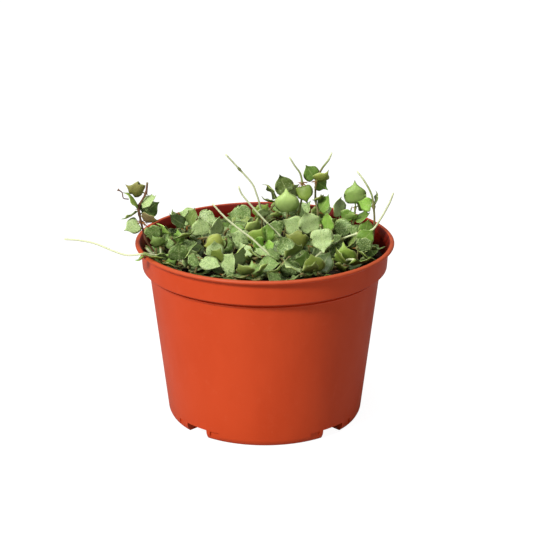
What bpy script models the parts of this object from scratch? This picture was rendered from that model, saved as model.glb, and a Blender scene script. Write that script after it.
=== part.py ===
"""A creeping hoya with small spade-shaped leaves, in a six-inch plastic nursery pot.

The pot stands on its flat base at the origin, +Z up. A ball of potting mix fills it, and every
leafy shoot and bare runner stands in a plain hole in that mix. Sizes are in millimetres, and MM
turns them into Blender's metres where a mesh is made.
"""

import math

import bmesh
import bpy
import numpy as np
from mathutils import Matrix
from mathutils.bvhtree import BVHTree

MM = 0.001

# Pot: a turned shell with a flared lip, a collar band and four drainage notches in its base.
POT_HEIGHT = 107.3
LIP_RADIUS = 76.0
LIP_THICKNESS = 2.1
COLLAR_RADIUS = 72.5
COLLAR_BOTTOM = 91.2
WALL_TOP_RADIUS = 68.0
FOOT_RADIUS = 57.9
WALL = 1.2
STEPS = 40
SOIL_STEPS = 28
NOTCH_WIDTH = 15.7
NOTCH_HEIGHT = 5.7
NOTCH_INNER_RADIUS = 40.0
NOTCH_FROM_FRONT = 43.5
NOTCH_TURNS = [math.radians(front + way * NOTCH_FROM_FRONT) for front in (-90, 90) for way in (-1, 1)]
DRAIN_HOLE_RADIUS = 3.0
POCKET_WIDTH = 6.0
POCKET_HEIGHT = 4.4
POCKET_DEPTH = 0.7
POCKET_ANGLE = 13.2

# Potting mix: it keeps this gap to the pot, and its top is a low lumpy mound.
GAP = 0.35
SOIL_EDGE = 94.0
SOIL_MOUND = 1.0
SOIL_LUMP = 0.55
HOLE_DEPTH = 8.0

# Plant: wiry stems, short leaf stalks and thick leaves with a drawn-out tip.
STEM_RADIUS = 0.75
RUNNER_RADIUS = 0.65
RUNNER_TIP = 0.45
STALK = 2.4
STALK_HALF_WIDTH = 0.5
SHALLOW_CUP = 0.22
LEAF_THICKNESS = 1.4
LEAF_ASPECT = 0.96
CLEARANCE = 0.36
STEM_CLEARANCE = 0.5
STEM_STEP = 8.0
TRIES = 120
MOST_NUDGE = (75, 65, 60)
MOST_STEMS = 58
ROOT_CHOICES = 300
GOLDEN_ANGLE = math.radians(137.508)
CREEP_RADIUS = 62.0
LOW_NODE = 116.0
SEED = 7

# At the back left the mat lies low, so that the pot's inner wall shows over it: the stretch along X,
# the wall's own place along Y and the lowest height that shows there, and the slope of that sight.
BARE_WALL = (-47.0, -5.0)
BARE_WALL_FOOT = (68.0, 100.0)
SIGHT_SLOPE = 0.354
MAT_TOP = 123.0

# Where a leaf's upper side looks: to the front, up, away (so its domed underside shows), aside, so
# that only its edge shows, or up and away (so a strip of the underside shows).
FRONT = (0.0, -1.0, 0.35)
FRONT_LEFT = (-0.8, -0.7, 0.3)
FRONT_RIGHT = (0.8, -0.7, 0.3)
UP = (0.0, -0.45, 1.0)
AWAY = (0.0, 1.0, 0.25)
LEFT = (-1.0, -0.25, 0.2)
FLAT = (0.0, 0.25, 0.95)
OVER = (0.0, 0.75, 0.65)

# The shoots that are seen one by one: the root's place on the mix, then the nodes from the mix
# up. A node is its place and its leaves. A leaf is where its tip points on a clock face seen from
# the front, in degrees, how far it leans to the front, its face, its length and how deep its cup.
SHOOTS = {
    "shoot_left_spray": (
        (-57, -4),
        [
            ((-63, -6, 99), []),
            ((-69.5, -8, 110), [(55, 0, FRONT_RIGHT, 11, 0.2)]),
            ((-71.8, -8, 120), [(-112, 25, FRONT, 10, 0.12)]),
            ((-72.6, -8, 124.5), [(105, 12, OVER, 10.5, 0.15), (60, -14, FRONT, 12, 0.1)]),
            ((-73, -8, 127.6), [(-33, 14, LEFT, 13, 0.2), (-119, 0, FLAT, 10.5, 0.12)]),
            ((-72.5, -8, 130.3), [(57, 14, UP, 11, 0.1)]),
            ((-68.6, -8, 137.4), [(-72, 0, AWAY, 11.5, 0.5)]),
            ((-67.6, -8, 143.8), []),
        ],
    ),
    "shoot_top_left": (
        (17, 22),
        [
            ((18, 17, 108), [(-85, 15, UP, 12, 0.15)]),
            ((20.5, 14, 120), [(-100, -10, FRONT, 11, 0.2)]),
            ((22, 15, 129), []),
            ((22, 14, 137), [(166, 10, AWAY, 11, 0.45)]),
            ((20.8, 14, 143), []),
            ((17.5, 13, 148), []),
            ((14.4, 12, 153.4), []),
        ],
    ),
    "shoot_top_right": (
        (31, 20),
        [
            ((30.5, 17, 108), [(80, 20, UP, 12, 0.15)]),
            ((31.5, 12, 119.5), [(16, 6, FRONT_LEFT, 12.5, 0.2)]),
            ((30, 15, 126.5), [(-8, 20, AWAY, 9.5, 0.4)]),
            ((30.4, 17, 137.4), [(-32, 4, FRONT, 10.5, 0.1), (38, 24, OVER, 10.5, 0.3),
                                 (150, 0, FRONT, 10, 0.2)]),
            ((33.2, 16, 144.5), []),
            ((35, 15, 147.6), []),
            ((37.7, 15, 151.3), []),
            ((39.2, 15, 155.3), []),
        ],
    ),
    "shoot_crest": (
        (8, 20),
        [
            ((12, 11, 108), [(-70, 10, FRONT, 11.5, 0.2)]),
            ((13.4, 8, 119), [(-3, 8, AWAY, 15.5, 0.42)]),
            ((13.6, 13, 130), [(-21, 4, FRONT, 12.3, 0.3), (40, -45, FRONT_RIGHT, 11.5, 0.25)]),
        ],
    ),
    "shoot_bright_tips": (
        (-1, 22),
        [
            ((-1.5, 17, 107), [(100, 10, UP, 12, 0.15)]),
            ((-1.2, 14, 115.5), [(34, 5, FRONT, 10.5, 0.1)]),
            ((7.5, 19, 124), [(-70, 0, FLAT, 9, 0.25), (-36, 0, LEFT, 12.5, 0.25)]),
        ],
    ),
    "shoot_onion": (
        (50, 15),
        [
            ((51, 11, 107), [(-70, 10, FRONT, 11, 0.1)]),
            ((52.6, 8, 116.5), [(-4, 14, AWAY, 9, 0.35), (60, 20, UP, 10, 0.15)]),
            ((53.2, 7, 124.5), [(-2, 0, AWAY, 14, 0.45), (58, -20, AWAY, 10, 0.3)]),
        ],
    ),
    "shoot_right_tall": (
        (60, 10),
        [
            ((63.5, 7, 104), [(-60, 15, FRONT, 11, 0.15)]),
            ((64.5, 5, 115), []),
            ((63.8, 5, 125.3), [(3, -10, LEFT, 9, 0.2), (-60, 12, FRONT, 9.5, 0.2)]),
            ((62.4, 6, 132.7), []),
            ((58.3, 8, 140), []),
            ((54, 10, 145.5), []),
        ],
    ),
    "shoot_right_arm": (
        (27, -22),
        [
            ((29, -21, 102.5), []),
            ((36, -16, 106.5), []),
            ((44.5, -10, 110), [(-120, 25, UP, 11, 0.15)]),
            ((53, -7, 112.3), [(-100, 26, FLAT, 11, 0.2)]),
            ((62, -5, 113.6), [(-97, 8, FLAT, 15, 0.08)]),
            ((67.3, -6, 121.3), []),
            ((72, -8, 131.3), []),
            ((74, -10, 138), []),
        ],
    ),
    "shoot_dark_round": (
        (-48, -26),
        [
            ((-48.8, -28.5, 101.8), [(-2, 14, FRONT, 13, 0.06)]),
            ((-42.8, -33, 100.4), [(6, 14, FRONT_RIGHT, 12, 0.1)]),
        ],
    ),
    "shoot_left_bulb": (
        (-57, 4),
        [
            ((-59.5, -5, 103.5), [(-50, 0, AWAY, 10.5, 0.42), (30, 20, FRONT_LEFT, 11.5, 0.15)]),
            ((-59.5, 4, 104), [(8, 0, FRONT_LEFT, 9, 0.2), (38, -5, FRONT, 12.5, 0.2)]),
        ],
    ),
    "shoot_left_star": (
        (-49, -4),
        [
            ((-50.5, -8, 105), [(-15, 10, FRONT, 11, 0.2), (75, 15, UP, 11, 0.15)]),
            ((-54.5, -12, 112), [(72, 5, FLAT, 13.5, 0.25), (-45, 0, LEFT, 10.5, 0.2)]),
        ],
    ),
    "shoot_left_dark": (
        (-46, 14),
        [
            ((-47, 12, 105), [(-80, 10, UP, 12, 0.15)]),
            ((-46, 9, 112), [(-52, 5, UP, 11.5, 0.25), (24, -5, FRONT_LEFT, 11.5, 0.15)]),
        ],
    ),
    "shoot_back_left": (
        (-44, 38),
        [
            ((-43.5, 36, 104), [(-70, 10, UP, 12, 0.15)]),
            ((-42, 34, 110.2), [(100, 12, FRONT, 12.5, 0.12), (-74, 5, FRONT, 9.5, 0.15)]),
        ],
    ),
    "shoot_mid_left": (
        (-33, 0),
        [
            ((-36.5, -5, 109), [(-6, 5, FRONT, 12.5, 0.1), (-80, 15, FRONT, 11, 0.2)]),
            ((-28.7, -7, 110), [(11, 0, FRONT_RIGHT, 12, 0.15)]),
        ],
    ),
    "shoot_mid_bulb": (
        (-25, -12),
        [
            ((-25.5, -13, 102.5), [(20, 10, FRONT, 11.5, 0.15)]),
            ((-22, -20, 110), []),
            ((-22.3, -24, 115), [(-110, 0, AWAY, 12, 0.5)]),
        ],
    ),
    "shoot_mid_back": (
        (-24, 24),
        [
            ((-24, 22, 103.5), [(-95, 20, UP, 12, 0.15), (60, 10, UP, 12, 0.15)]),
            ((-22, 19, 107), [(75, 5, UP, 12, 0.2)]),
        ],
    ),
    "shoot_broad_back": (
        (-6, 47),
        [
            ((-6.5, 44.5, 105.8), [(-78, 8, FRONT, 15, 0.12), (45, -10, AWAY, 11, 0.3)]),
        ],
    ),
    "shoot_centre": (
        (-8, -3),
        [
            ((-8.3, -10, 107), [(-55, 15, FRONT, 12.5, 0.1), (35, 0, AWAY, 11, 0.25)]),
        ],
    ),
    "shoot_bright_spikes": (
        (0, -9),
        [
            ((-1.3, -12, 103.5), [(-26, 12, FRONT_RIGHT, 11, 0.2), (30, 12, FRONT_LEFT, 11, 0.2)]),
            ((0.5, -9, 107), [(95, 20, UP, 12, 0.1), (8, -5, FRONT, 11, 0.15)]),
        ],
    ),
    "shoot_silver_pair": (
        (21, 7),
        [
            ((22, 6, 104), [(-75, 20, UP, 12, 0.15)]),
            ((23.6, 3, 110.5), [(-57, 8, FRONT, 13.5, 0.12), (20, -15, FRONT, 11, 0.2)]),
        ],
    ),
    "shoot_silver_broad": (
        (32, 3),
        [
            ((29, 0, 109.3), [(-20, 8, FRONT, 14.5, 0.1), (85, 10, UP, 11.5, 0.15)]),
            ((36.5, -2, 111), [(-2, 0, FRONT_LEFT, 11.5, 0.15)]),
        ],
    ),
    "shoot_silver_round": (
        (36, -9),
        [
            ((35.5, -11, 108), [(75, 20, UP, 11, 0.1)]),
            ((33.5, -15, 117.5), []),
            ((32, -17.5, 121), [(173, 18, FRONT, 14.5, 0.06)]),
        ],
    ),
    "shoot_olive_curl": (
        (27, -12),
        [
            ((25.5, -14, 107.5), [(-61, 5, AWAY, 14, 0.3), (40, 15, UP, 10.5, 0.1)]),
        ],
    ),
    "shoot_right_mid": (
        (42, 12),
        [
            ((39.8, 6, 111), [(80, 8, FRONT, 12, 0.1), (-50, 10, UP, 11, 0.15)]),
            ((44.5, 13, 115), [(0, 0, FRONT_RIGHT, 12.5, 0.3), (60, -10, FRONT, 10, 0.2)]),
        ],
    ),
    "shoot_right_green": (
        (56, 2),
        [
            ((58.7, 4, 107.3), [(-2, -4, FRONT, 11, 0.15), (-55, 12, FRONT_RIGHT, 10.5, 0.12)]),
        ],
    ),
    "shoot_right_olive": (
        (47, -24),
        [
            ((46.8, -27.5, 99.5), [(-8, 10, AWAY, 14, 0.28), (72, 0, UP, 9.5, 0.15)]),
        ],
    ),
    "shoot_right_pair": (
        (53, -14),
        [
            ((54.5, -17, 109.8), [(103, 5, FLAT, 14.5, 0.3), (62, 12, FRONT, 12, 0.12)]),
            ((52.5, -24, 109), [(112, 10, FLAT, 13, 0.25), (68, 24, FRONT_RIGHT, 10.5, 0.12)]),
        ],
    ),
    "shoot_front_dark": (
        (23, -37),
        [
            ((22.6, -40.5, 98.5), [(3, 8, FRONT, 14, 0.06)]),
            ((15.5, -46, 98.6), [(-12, 12, FRONT, 12.5, 0.1)]),
        ],
    ),
    "shoot_front_flat": (
        (-3, -34),
        [
            ((-5.8, -39, 105), [(82, 22, UP, 14.5, 0.12)]),
        ],
    ),
    "shoot_front_light": (
        (10, -28),
        [
            ((10, -31, 105.5), [(57, 12, FRONT, 12, 0.12), (-60, 15, UP, 11, 0.12)]),
        ],
    ),
    "shoot_front_bulb": (
        (-10, -44),
        [
            ((-4.8, -48.5, 98.8), [(-12, 10, AWAY, 11, 0.48)]),
            ((-2.5, -51, 100), [(50, 5, FLAT, 14, 0.3)]),
        ],
    ),
    "shoot_front_mottled": (
        (-24, -38),
        [
            ((-23.3, -41.5, 98.9), [(19, 8, FRONT_LEFT, 14, 0.2), (-88, 6, FLAT, 12, 0.3)]),
        ],
    ),
    "shoot_front_tall": (
        (-15, -32),
        [
            ((-15.9, -36.5, 99.5), [(6, 5, FRONT_RIGHT, 15.5, 0.2), (-140, 25, UP, 10, 0.12)]),
        ],
    ),
    "shoot_silver_low": (
        (-40, -33),
        [
            ((-37, -36, 107.4), [(104, 28, UP, 12.5, 0.1), (-75, 25, UP, 11, 0.1)]),
        ],
    ),
    "shoot_rim_left": (
        (-55, -22),
        [
            ((-59, -29.5, 103.5), [(94, 15, FLAT, 12.5, 0.2), (-8, 0, FRONT_LEFT, 10, 0.2)]),
        ],
    ),
}

# The bare young runners: the root's place on the mix, then the points of their route.
RUNNERS = {
    "runner_left": (
        (-45, -16),
        [(-52, -21, 102), (-61, -29, 106.5), (-68, -34.5, 109.3), (-78, -35, 108.8),
         (-86, -34, 111), (-96, -33, 115), (-105, -33, 117), (-113.5, -34, 118)],
    ),
    "runner_tall": (
        (2, 31),
        [(0.5, 26, 105), (-1.5, 18, 116), (-3, 12.5, 124.5), (-7.5, 10, 138), (-14.8, 8, 147.2),
         (-22.7, 5, 157)],
    ),
    "runner_middle": (
        (13.5, -4),
        [(12, -5, 106), (9.3, -5.5, 110.2), (1.9, -6.5, 118.3), (-7.4, -8, 129.4),
         (-13.3, -9, 137.2), (-15, -10, 142)],
    ),
    "runner_front": (
        (4.5, -23),
        [(3, -25, 105), (-0.5, -25, 108.6), (-7.3, -25, 115.3), (-14.5, -25, 121),
         (-22.9, -25, 128.5), (-29.7, -25, 136.2)],
    ),
}
RUNNER_LEAVES = {"runner_left": [(2, (-101, 12, FLAT, 8.0, 0.3)), (2, (88, 10, FLAT, 12.0, 0.15))]}
LEAFLESS_TIP = {"shoot_left_spray": 1, "shoot_top_left": 3, "shoot_top_right": 3,
                "shoot_right_tall": 3, "shoot_right_arm": 4}


def unit(vector):
    """The vector at length one."""
    vector = np.asarray(vector, float)
    return vector / np.linalg.norm(vector)


def soil_height(x, y):
    """Height of the mix: a low mound, with lumps as a sum of two crossed waves."""
    mound = SOIL_MOUND * (1 - (x * x + y * y) / COLLAR_RADIUS**2)
    lumps = np.sin(x / 6.1 + 0.7) * np.cos(y / 5.3) + 0.6 * np.sin((x - y) / 6.3)
    return SOIL_EDGE + mound + SOIL_LUMP * lumps


def spline(points, step):
    """A Catmull-Rom curve that keeps each of the points, with even steps between each two."""
    points = np.asarray(points, float)
    padded = np.vstack([2 * points[0] - points[1], points, 2 * points[-1] - points[-2]])
    runs = []
    for a, b, c, d in zip(padded[:-3], padded[1:-2], padded[2:-1], padded[3:]):
        count = max(1, round(float(np.linalg.norm(c - b)) / step))
        t = np.linspace(0, 1, count, endpoint=False)[:, None]
        cubic = 2 * b + (c - a) * t + (2 * a - 5 * b + 4 * c - d) * t**2
        runs.append((cubic + (3 * b - a - 3 * c + d) * t**3) / 2)
    return np.vstack([*runs, points[-1:]])


def stem_path(root, route, step):
    """Straight up out of its hole in the mix, then along the route."""
    top = soil_height(*root)
    foot = np.array([[*root, top - HOLE_DEPTH], [*root, top + 1.5]], float)
    return np.vstack([foot[:1], spline(np.vstack([foot[1:], route]), step)])


def tube(path, radii, sides):
    """Points and faces of a closed tube: rings whose frame is carried along the path unturned."""
    tangents = np.gradient(path, axis=0)
    tangents /= np.linalg.norm(tangents, axis=1)[:, None]
    across = unit(np.cross(tangents[0], (0.3, 1.0, 0.2)))
    frames = []
    for tangent in tangents:
        across = unit(across - tangent * (across @ tangent))
        frames.append((across, np.cross(tangent, across)))
    frames = np.array(frames)
    turn = 2 * math.pi * np.arange(sides) / sides
    ring = np.cos(turn)[:, None] * frames[:, None, 0] + np.sin(turn)[:, None] * frames[:, None, 1]
    points = (path[:, None] + ring * np.reshape(radii, (-1, 1, 1))).reshape(-1, 3)
    i, j = np.meshgrid(np.arange(len(path) - 1), np.arange(sides), indexing="ij")
    here, there = i * sides + j, i * sides + (j + 1) % sides
    faces = np.stack([here, there, there + sides, here + sides], -1).reshape(-1, 4).tolist()
    caps = [list(range(sides))[::-1], list(range(len(points) - sides, len(points)))]
    return points, faces + caps


def smoothstep(v, low, high):
    """0 below the low value, 1 above the high one, and an S curve between."""
    t = np.clip((v - low) / (high - low), 0, 1)
    return t * t * (3 - 2 * t)


def blade_width(v):
    """Half-width share along the blade: a round shoulder, a fall, and a slim drip tip at its end."""
    shoulder = np.sqrt(np.clip(1 - (1 - v / 0.36) ** 2, 0, 1))
    fall = (1 - np.clip((v - 0.36) / 0.64, 0, 1) ** 2.2) ** 1.15
    return np.where(v < 0.36, shoulder, fall * (1 - 0.6 * smoothstep(v, 0.60, 0.88)))


def leaf_frame(leaf):
    """Base of the blade, and its three directions: along, across and out of its upper side."""
    along = unit(leaf["along"])
    face = unit(leaf["face"] - along * (np.asarray(leaf["face"]) @ along))
    stalk_way = unit(along - 0.35 * face)
    base = leaf["node"] + stalk_way * (STALK * leaf["length"] / 14)
    return base, along, np.cross(face, along), face


STATIONS = np.array([0.0, 0.11, 0.38, 0.70, 1.0])
HEEL = np.array([0.0, -0.08, -0.03, 0.0, 0.0])


def leaf_mesh(leaf, grow=0.0, stalk=True):
    """Points and faces of one leaf, lofted through its sections from its stalk to its tip.

    A section is a flat lens: left edge, upper middle, right edge and lower middle. The edges are
    lifted by the cup and swept back at the heel, and the middle sinks along the blade in a
    parabola. A leaf with a shallow cup is flat on top, so its sections have no upper middle. The
    quads of the underside are split along the same slant as those above them, so that the two
    sides of a cupped blade don't cross.
    """
    base, along, across, face = leaf_frame(leaf)
    length, cup = leaf["length"], leaf["cup"]
    half = length * LEAF_ASPECT / 2 * blade_width(STATIONS)
    half[0] = STALK_HALF_WIDTH
    lift = 0.9 * cup * half
    sink = 0.35 * cup * length * ((2 * STATIONS - 1) ** 2 - 1)
    shallow = cup < SHALLOW_CUP
    thick = LEAF_THICKNESS / 2 * np.array([0.6, 0.9, 1.0, 0.8, 0.0]) + grow
    middle = base + along * (STATIONS * length)[:, None] + face * sink[:, None]
    middle[-1] += along * grow
    edge = across * (half + grow)[:, None]
    rise = face * (lift + grow * shallow)[:, None] + along * (HEEL * length)[:, None]
    ridge = middle + face * thick[:, None]
    keel = middle - face * thick[:, None]
    lines = [middle - edge + rise, ridge, middle + edge + rise, keel]
    if shallow:
        del lines[1]
    rings = np.stack(lines, axis=1)
    sections = list(rings[:-1])
    if stalk:
        root = rings[0] - middle[0] + leaf["node"]
        sections.insert(0, leaf["node"] + (root - leaf["node"]) * 0.8)
    sides = len(lines)
    count = len(sections)
    points = np.vstack([*sections, middle[-1:]])
    faces = [[0, k, k + 1] for k in range(1, sides - 1)]
    for s in range(count - 1):
        for k in range(sides):
            a, b = sides * s + k, sides * s + (k + 1) % sides
            if k < sides - 2:
                faces += [[a, a + sides, b], [b, a + sides, b + sides]]
            else:
                faces += [[a, a + sides, b + sides], [a, b + sides, b]]
    last = sides * (count - 1)
    faces += [[last + k, sides * count, last + (k + 1) % sides] for k in range(sides)]
    return points, faces


class Things:
    """What is already in place, each with a ball round it so that far ones are skipped."""

    def __init__(self):
        self.rows = []

    def add(self, points, faces, group, kind):
        centre = points.mean(0)
        reach = np.linalg.norm(points - centre, axis=1).max()
        tree = BVHTree.FromPolygons(points.tolist(), faces)
        self.rows.append((centre, reach, tree, group, kind))

    def hit(self, points, faces, wanted):
        """Whether this mesh crosses any row that wanted(group, kind) picks."""
        centre = points.mean(0)
        reach = np.linalg.norm(points - centre, axis=1).max()
        tree = BVHTree.FromPolygons(points.tolist(), faces)
        return any(
            tree.overlap(row[2])
            for row in self.rows
            if wanted(row[3], row[4]) and np.linalg.norm(row[0] - centre) < row[1] + reach
        )


def turned(profile, steps):
    """Points and faces of a profile turned about Z, for the crossing tests."""
    turn = 2 * math.pi * np.arange(steps) / steps
    radius, height = np.array(profile, float).T
    ring = np.stack([np.cos(turn), np.sin(turn)], -1)
    flat = radius[:, None, None] * ring
    high = np.broadcast_to(height[:, None, None], (*flat.shape[:2], 1))
    points = np.concatenate([flat, high], axis=2).reshape(-1, 3)
    i, j = np.meshgrid(np.arange(len(profile) - 1), np.arange(steps), indexing="ij")
    here, there = i * steps + j, i * steps + (j + 1) % steps
    return points, np.stack([here, there, there + steps, here + steps], -1).reshape(-1, 4).tolist()


def rim_profile():
    """The outline of the pot's collar and lip, from the wall inside up and over to the outside."""
    inside = COLLAR_RADIUS - WALL
    return [
        (WALL_TOP_RADIUS - WALL, COLLAR_BOTTOM - 0.4),
        (inside - 0.5, COLLAR_BOTTOM + WALL),
        (inside, POT_HEIGHT - 4.4),
        (inside + 1.6, POT_HEIGHT - 0.6),
        (LIP_RADIUS - 1.5, POT_HEIGHT),
        (LIP_RADIUS - 0.3, POT_HEIGHT - 0.5),
        (LIP_RADIUS, POT_HEIGHT - 1.3),
        (LIP_RADIUS - 0.4, POT_HEIGHT - LIP_THICKNESS),
        (COLLAR_RADIUS + 0.2, POT_HEIGHT - LIP_THICKNESS - 1.0),
        (COLLAR_RADIUS - 0.6, COLLAR_BOTTOM + 0.4),
        (WALL_TOP_RADIUS + 0.3, COLLAR_BOTTOM - 0.6),
        (WALL_TOP_RADIUS, COLLAR_BOTTOM - 1.2),
    ]


def pot_profile():
    """From the middle of the floor, up the inside, over the lip and down to the base's middle."""
    inside = [(0, WALL), (FOOT_RADIUS - 2.9, WALL), (FOOT_RADIUS - 1.3, 2.6)]
    outside = [(FOOT_RADIUS, 3.0), (FOOT_RADIUS - 1.1, 0.8), (FOOT_RADIUS - 1.9, 0), (0, 0)]
    return [*inside, *rim_profile(), *outside]


def soil_profile():
    """From the middle of the mix's top, out to the pot and down inside it to its floor."""
    edge = COLLAR_RADIUS - WALL - 0.5 - GAP
    wall = WALL_TOP_RADIUS - WALL - GAP
    top = [(radius, SOIL_EDGE) for radius in (0, 15, 32, 52, edge)]
    return [
        *top,
        (edge - 0.1, COLLAR_BOTTOM + WALL + GAP),
        (wall, COLLAR_BOTTOM - 0.4 + GAP),
        (FOOT_RADIUS - 1.3 - GAP, 2.6 + GAP),
        (FOOT_RADIUS - 2.9 - GAP, WALL + GAP),
        (0, WALL + GAP),
    ]


def heading(clock, lean):
    """The direction of a tip from its clock angle seen from the front and its lean to the front."""
    clock, lean = math.radians(clock), math.radians(lean)
    flat = math.cos(lean)
    return np.array([math.sin(clock) * flat, -math.sin(lean), math.cos(clock) * flat])


def turned_by(vector, axis, angle):
    """The vector turned about a unit axis by Rodrigues' formula."""
    c, s = math.cos(angle), math.sin(angle)
    return vector * c + np.cross(axis, vector) * s + axis * (axis @ vector) * (1 - c)


def nudged(leaf, share, rng):
    """The leaf swung, pitched and rolled by up to a share of its freedom, and a little smaller."""
    _, along, across, face = leaf_frame(leaf)
    swing, pitch, roll = rng.uniform(-1, 1, 3) * share * np.radians(MOST_NUDGE)
    along = turned_by(along, face, swing)
    along, face = (turned_by(v, across, pitch) for v in (along, face))
    face = turned_by(face, along, roll)
    size = leaf["length"] * (1 - 0.3 * share)
    return {**leaf, "along": along, "face": face, "length": size}


def mat_ceiling(places):
    """How high the mat may rise at each place."""
    x, y = places[..., 0], places[..., 1]
    back, foot = BARE_WALL_FOOT
    sight = foot + SIGHT_SLOPE * (back - y)
    return np.where((x > BARE_WALL[0]) & (x < BARE_WALL[1]), np.minimum(sight, MAT_TOP), MAT_TOP)


def seat_leaf(leaf, name, things, rng):
    """Adds the leaf in the first attitude that crosses nothing. It stays out if none is clear."""
    for attempt in range(TRIES):
        trial = leaf if attempt == 0 else nudged(leaf, attempt / TRIES, rng)
        fat = leaf_mesh(trial, CLEARANCE)
        if leaf.get("in mat") and (fat[0][:, 2] > mat_ceiling(fat[0])).any():
            continue
        if things.hit(*fat, lambda group, kind: group != name and kind != "bare blade"):
            continue
        bare = leaf_mesh(trial, 0.1, stalk=False)
        if things.hit(*bare, lambda group, kind: group == name and kind != "leaf"):
            continue
        things.add(*leaf_mesh(trial), name, "leaf")
        things.add(*leaf_mesh(trial, 0.0, stalk=False), name, "bare blade")
        return trial
    return None


def creeping_routes(rng, root):
    """Low arching stems from this root, a choice of them all round: the three nodes of each."""
    routes = []
    for turn in rng.uniform(0, 2 * math.pi) + np.arange(16) * GOLDEN_ANGLE:
        reach = rng.uniform(9, 20)
        height = rng.uniform(7, 13)
        share = np.array([0.34, 0.68, 1.0])[:, None]
        flat = np.array(root) + np.array([math.cos(turn), math.sin(turn)]) * reach * share**1.3
        high = soil_height(*root) + 1.0 + height * share**0.8
        route = np.hstack([flat, high])
        if np.hypot(*flat[-1]) < CREEP_RADIUS and (high[:, 0] < mat_ceiling(flat) - 2).all():
            routes.append(route)
    return routes


def gap_to(spots, places):
    """How far each place lies from the nearest of the spots, seen from above."""
    apart = places[:, None, :2] - np.array(spots)[None]
    return np.linalg.norm(apart, axis=2).min(axis=1)


def crossed_pairs(rng, nodes):
    """Opposite leaves, each pair turned a quarter from the last: low ones spread, top ones rise."""
    first = rng.uniform(0, math.pi)
    found = []
    for k, node in enumerate(nodes):
        top = k == len(nodes) - 1 and k > 0
        for side in (0, math.pi):
            turn = first + k * math.pi / 2 + side + rng.uniform(-0.4, 0.4)
            rise = math.radians(rng.uniform(20, 70) if top else rng.uniform(-12, 35))
            out = np.array([math.cos(turn), math.sin(turn), 0.0])
            along = out * math.cos(rise) + np.array([0, 0, math.sin(rise)])
            face = np.array([0, 0, math.cos(rise)]) - out * math.sin(rise)
            face = unit(face + np.cross(along, face) * rng.uniform(-0.8, 0.8))
            cup = rng.choice([0.08, 0.12, 0.2, 0.3, 0.45])
            found.append({"node": node, "along": along, "face": face,
                          "length": rng.uniform(10.5, 14), "cup": float(cup), "in mat": True})
    return found


def asked_leaf(node, clock, lean, face, length, cup):
    """A leaf from its line in the tables."""
    return {"node": np.array(node, float), "along": heading(clock, lean),
            "face": np.array(face), "length": length, "cup": cup}


def lay_out_plant():
    """Every stem's path and every leaf's place, as two dictionaries by node name.

    Stems come first. Then each leaf takes the attitude asked for or, where that would cross
    something, the nearest of a seeded run of attitudes that is clear.
    """
    rng = np.random.default_rng(SEED)
    things = Things()
    things.add(*turned(rim_profile(), STEPS), "pot", "wall")
    points, faces = turned(soil_profile()[:5], SOIL_STEPS)
    points[:, 2] = soil_height(points[:, 0], points[:, 1])
    both_splits = [
        half for a, b, c, d in faces for half in ((a, b, c), (a, c, d), (a, b, d), (b, c, d))
    ]
    things.add(points, both_splits, "soil", "top")
    stems, wanted, later = {}, [], []
    for name, (root, nodes) in SHOOTS.items():
        route = np.array([place for place, _ in nodes], float)
        path = stem_path(root, route, STEM_STEP)
        radii = np.full(len(path), STEM_RADIUS)
        slim = LEAFLESS_TIP.get(name, 0)
        if slim:
            radii[-slim:] = np.linspace(RUNNER_RADIUS, RUNNER_TIP, slim)
        stems[name] = (path, radii)
        wanted += [(name, asked_leaf(place, *leaf)) for place, leaves in nodes for leaf in leaves]
        low = path[1] + (path[2] - path[1]) * 0.4
        later += [(name, leaf) for leaf in crossed_pairs(rng, [low])]
    for name, (root, route) in RUNNERS.items():
        path = stem_path(root, np.array(route, float), STEM_STEP)
        radii = np.full(len(path), RUNNER_RADIUS)
        radii[3:] = np.linspace(RUNNER_RADIUS, RUNNER_TIP, len(path) - 3)
        stems[name] = (path, radii)
        wanted += [(name, asked_leaf(route[k], *leaf)) for k, leaf in RUNNER_LEAVES.get(name, [])]
    for name, (path, radii) in stems.items():
        fat = tube(path, radii + STEM_CLEARANCE, 6)
        if things.hit(*fat, lambda group, kind: kind in ("stem", "wall")):
            print(name, "crosses another stem or the pot")
        things.add(*tube(path, radii, 6), name, "stem")
    spots = [leaf["node"][:2] for _, leaf in wanted if leaf["node"][2] < LOW_NODE]
    spots += [path[0, :2] for path, _ in stems.values()]
    # The places to try for a root follow a sunflower's spiral, which is even all over the mix.
    turn = np.arange(ROOT_CHOICES) * GOLDEN_ANGLE
    away = CREEP_RADIUS * np.sqrt((np.arange(ROOT_CHOICES) + 0.5) / ROOT_CHOICES)
    places = np.stack([away * np.cos(turn), away * np.sin(turn)], axis=1)
    while len(stems) < MOST_STEMS and len(places):
        best = int(gap_to(spots, places).argmax())
        root, places = places[best], np.delete(places, best, axis=0)
        clear = []
        for nodes in creeping_routes(rng, root):
            path = stem_path(root, nodes, STEM_STEP)
            radii = np.full(len(path), STEM_RADIUS)
            fat = tube(path, radii + STEM_CLEARANCE, 6)
            if not things.hit(*fat, lambda group, kind: kind in ("stem", "wall")):
                clear.append((gap_to(spots, nodes).sum(), nodes, path, radii))
        if clear:
            _, nodes, path, radii = max(clear, key=lambda choice: choice[0])
            name = f"shoot_{sum(key[-1].isdigit() for key in stems) + 1:02d}"
            stems[name] = (path, radii)
            later += [(name, leaf) for leaf in crossed_pairs(rng, nodes)]
            things.add(*tube(path, radii, 6), name, "stem")
            spots += [root, *nodes[:, :2]]
    leaves = {name: [] for name in stems}
    for name, leaf in wanted + later:
        seated = seat_leaf(leaf, name, things, rng)
        if seated:
            leaves[name].append(seated)
    return stems, leaves


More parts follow.
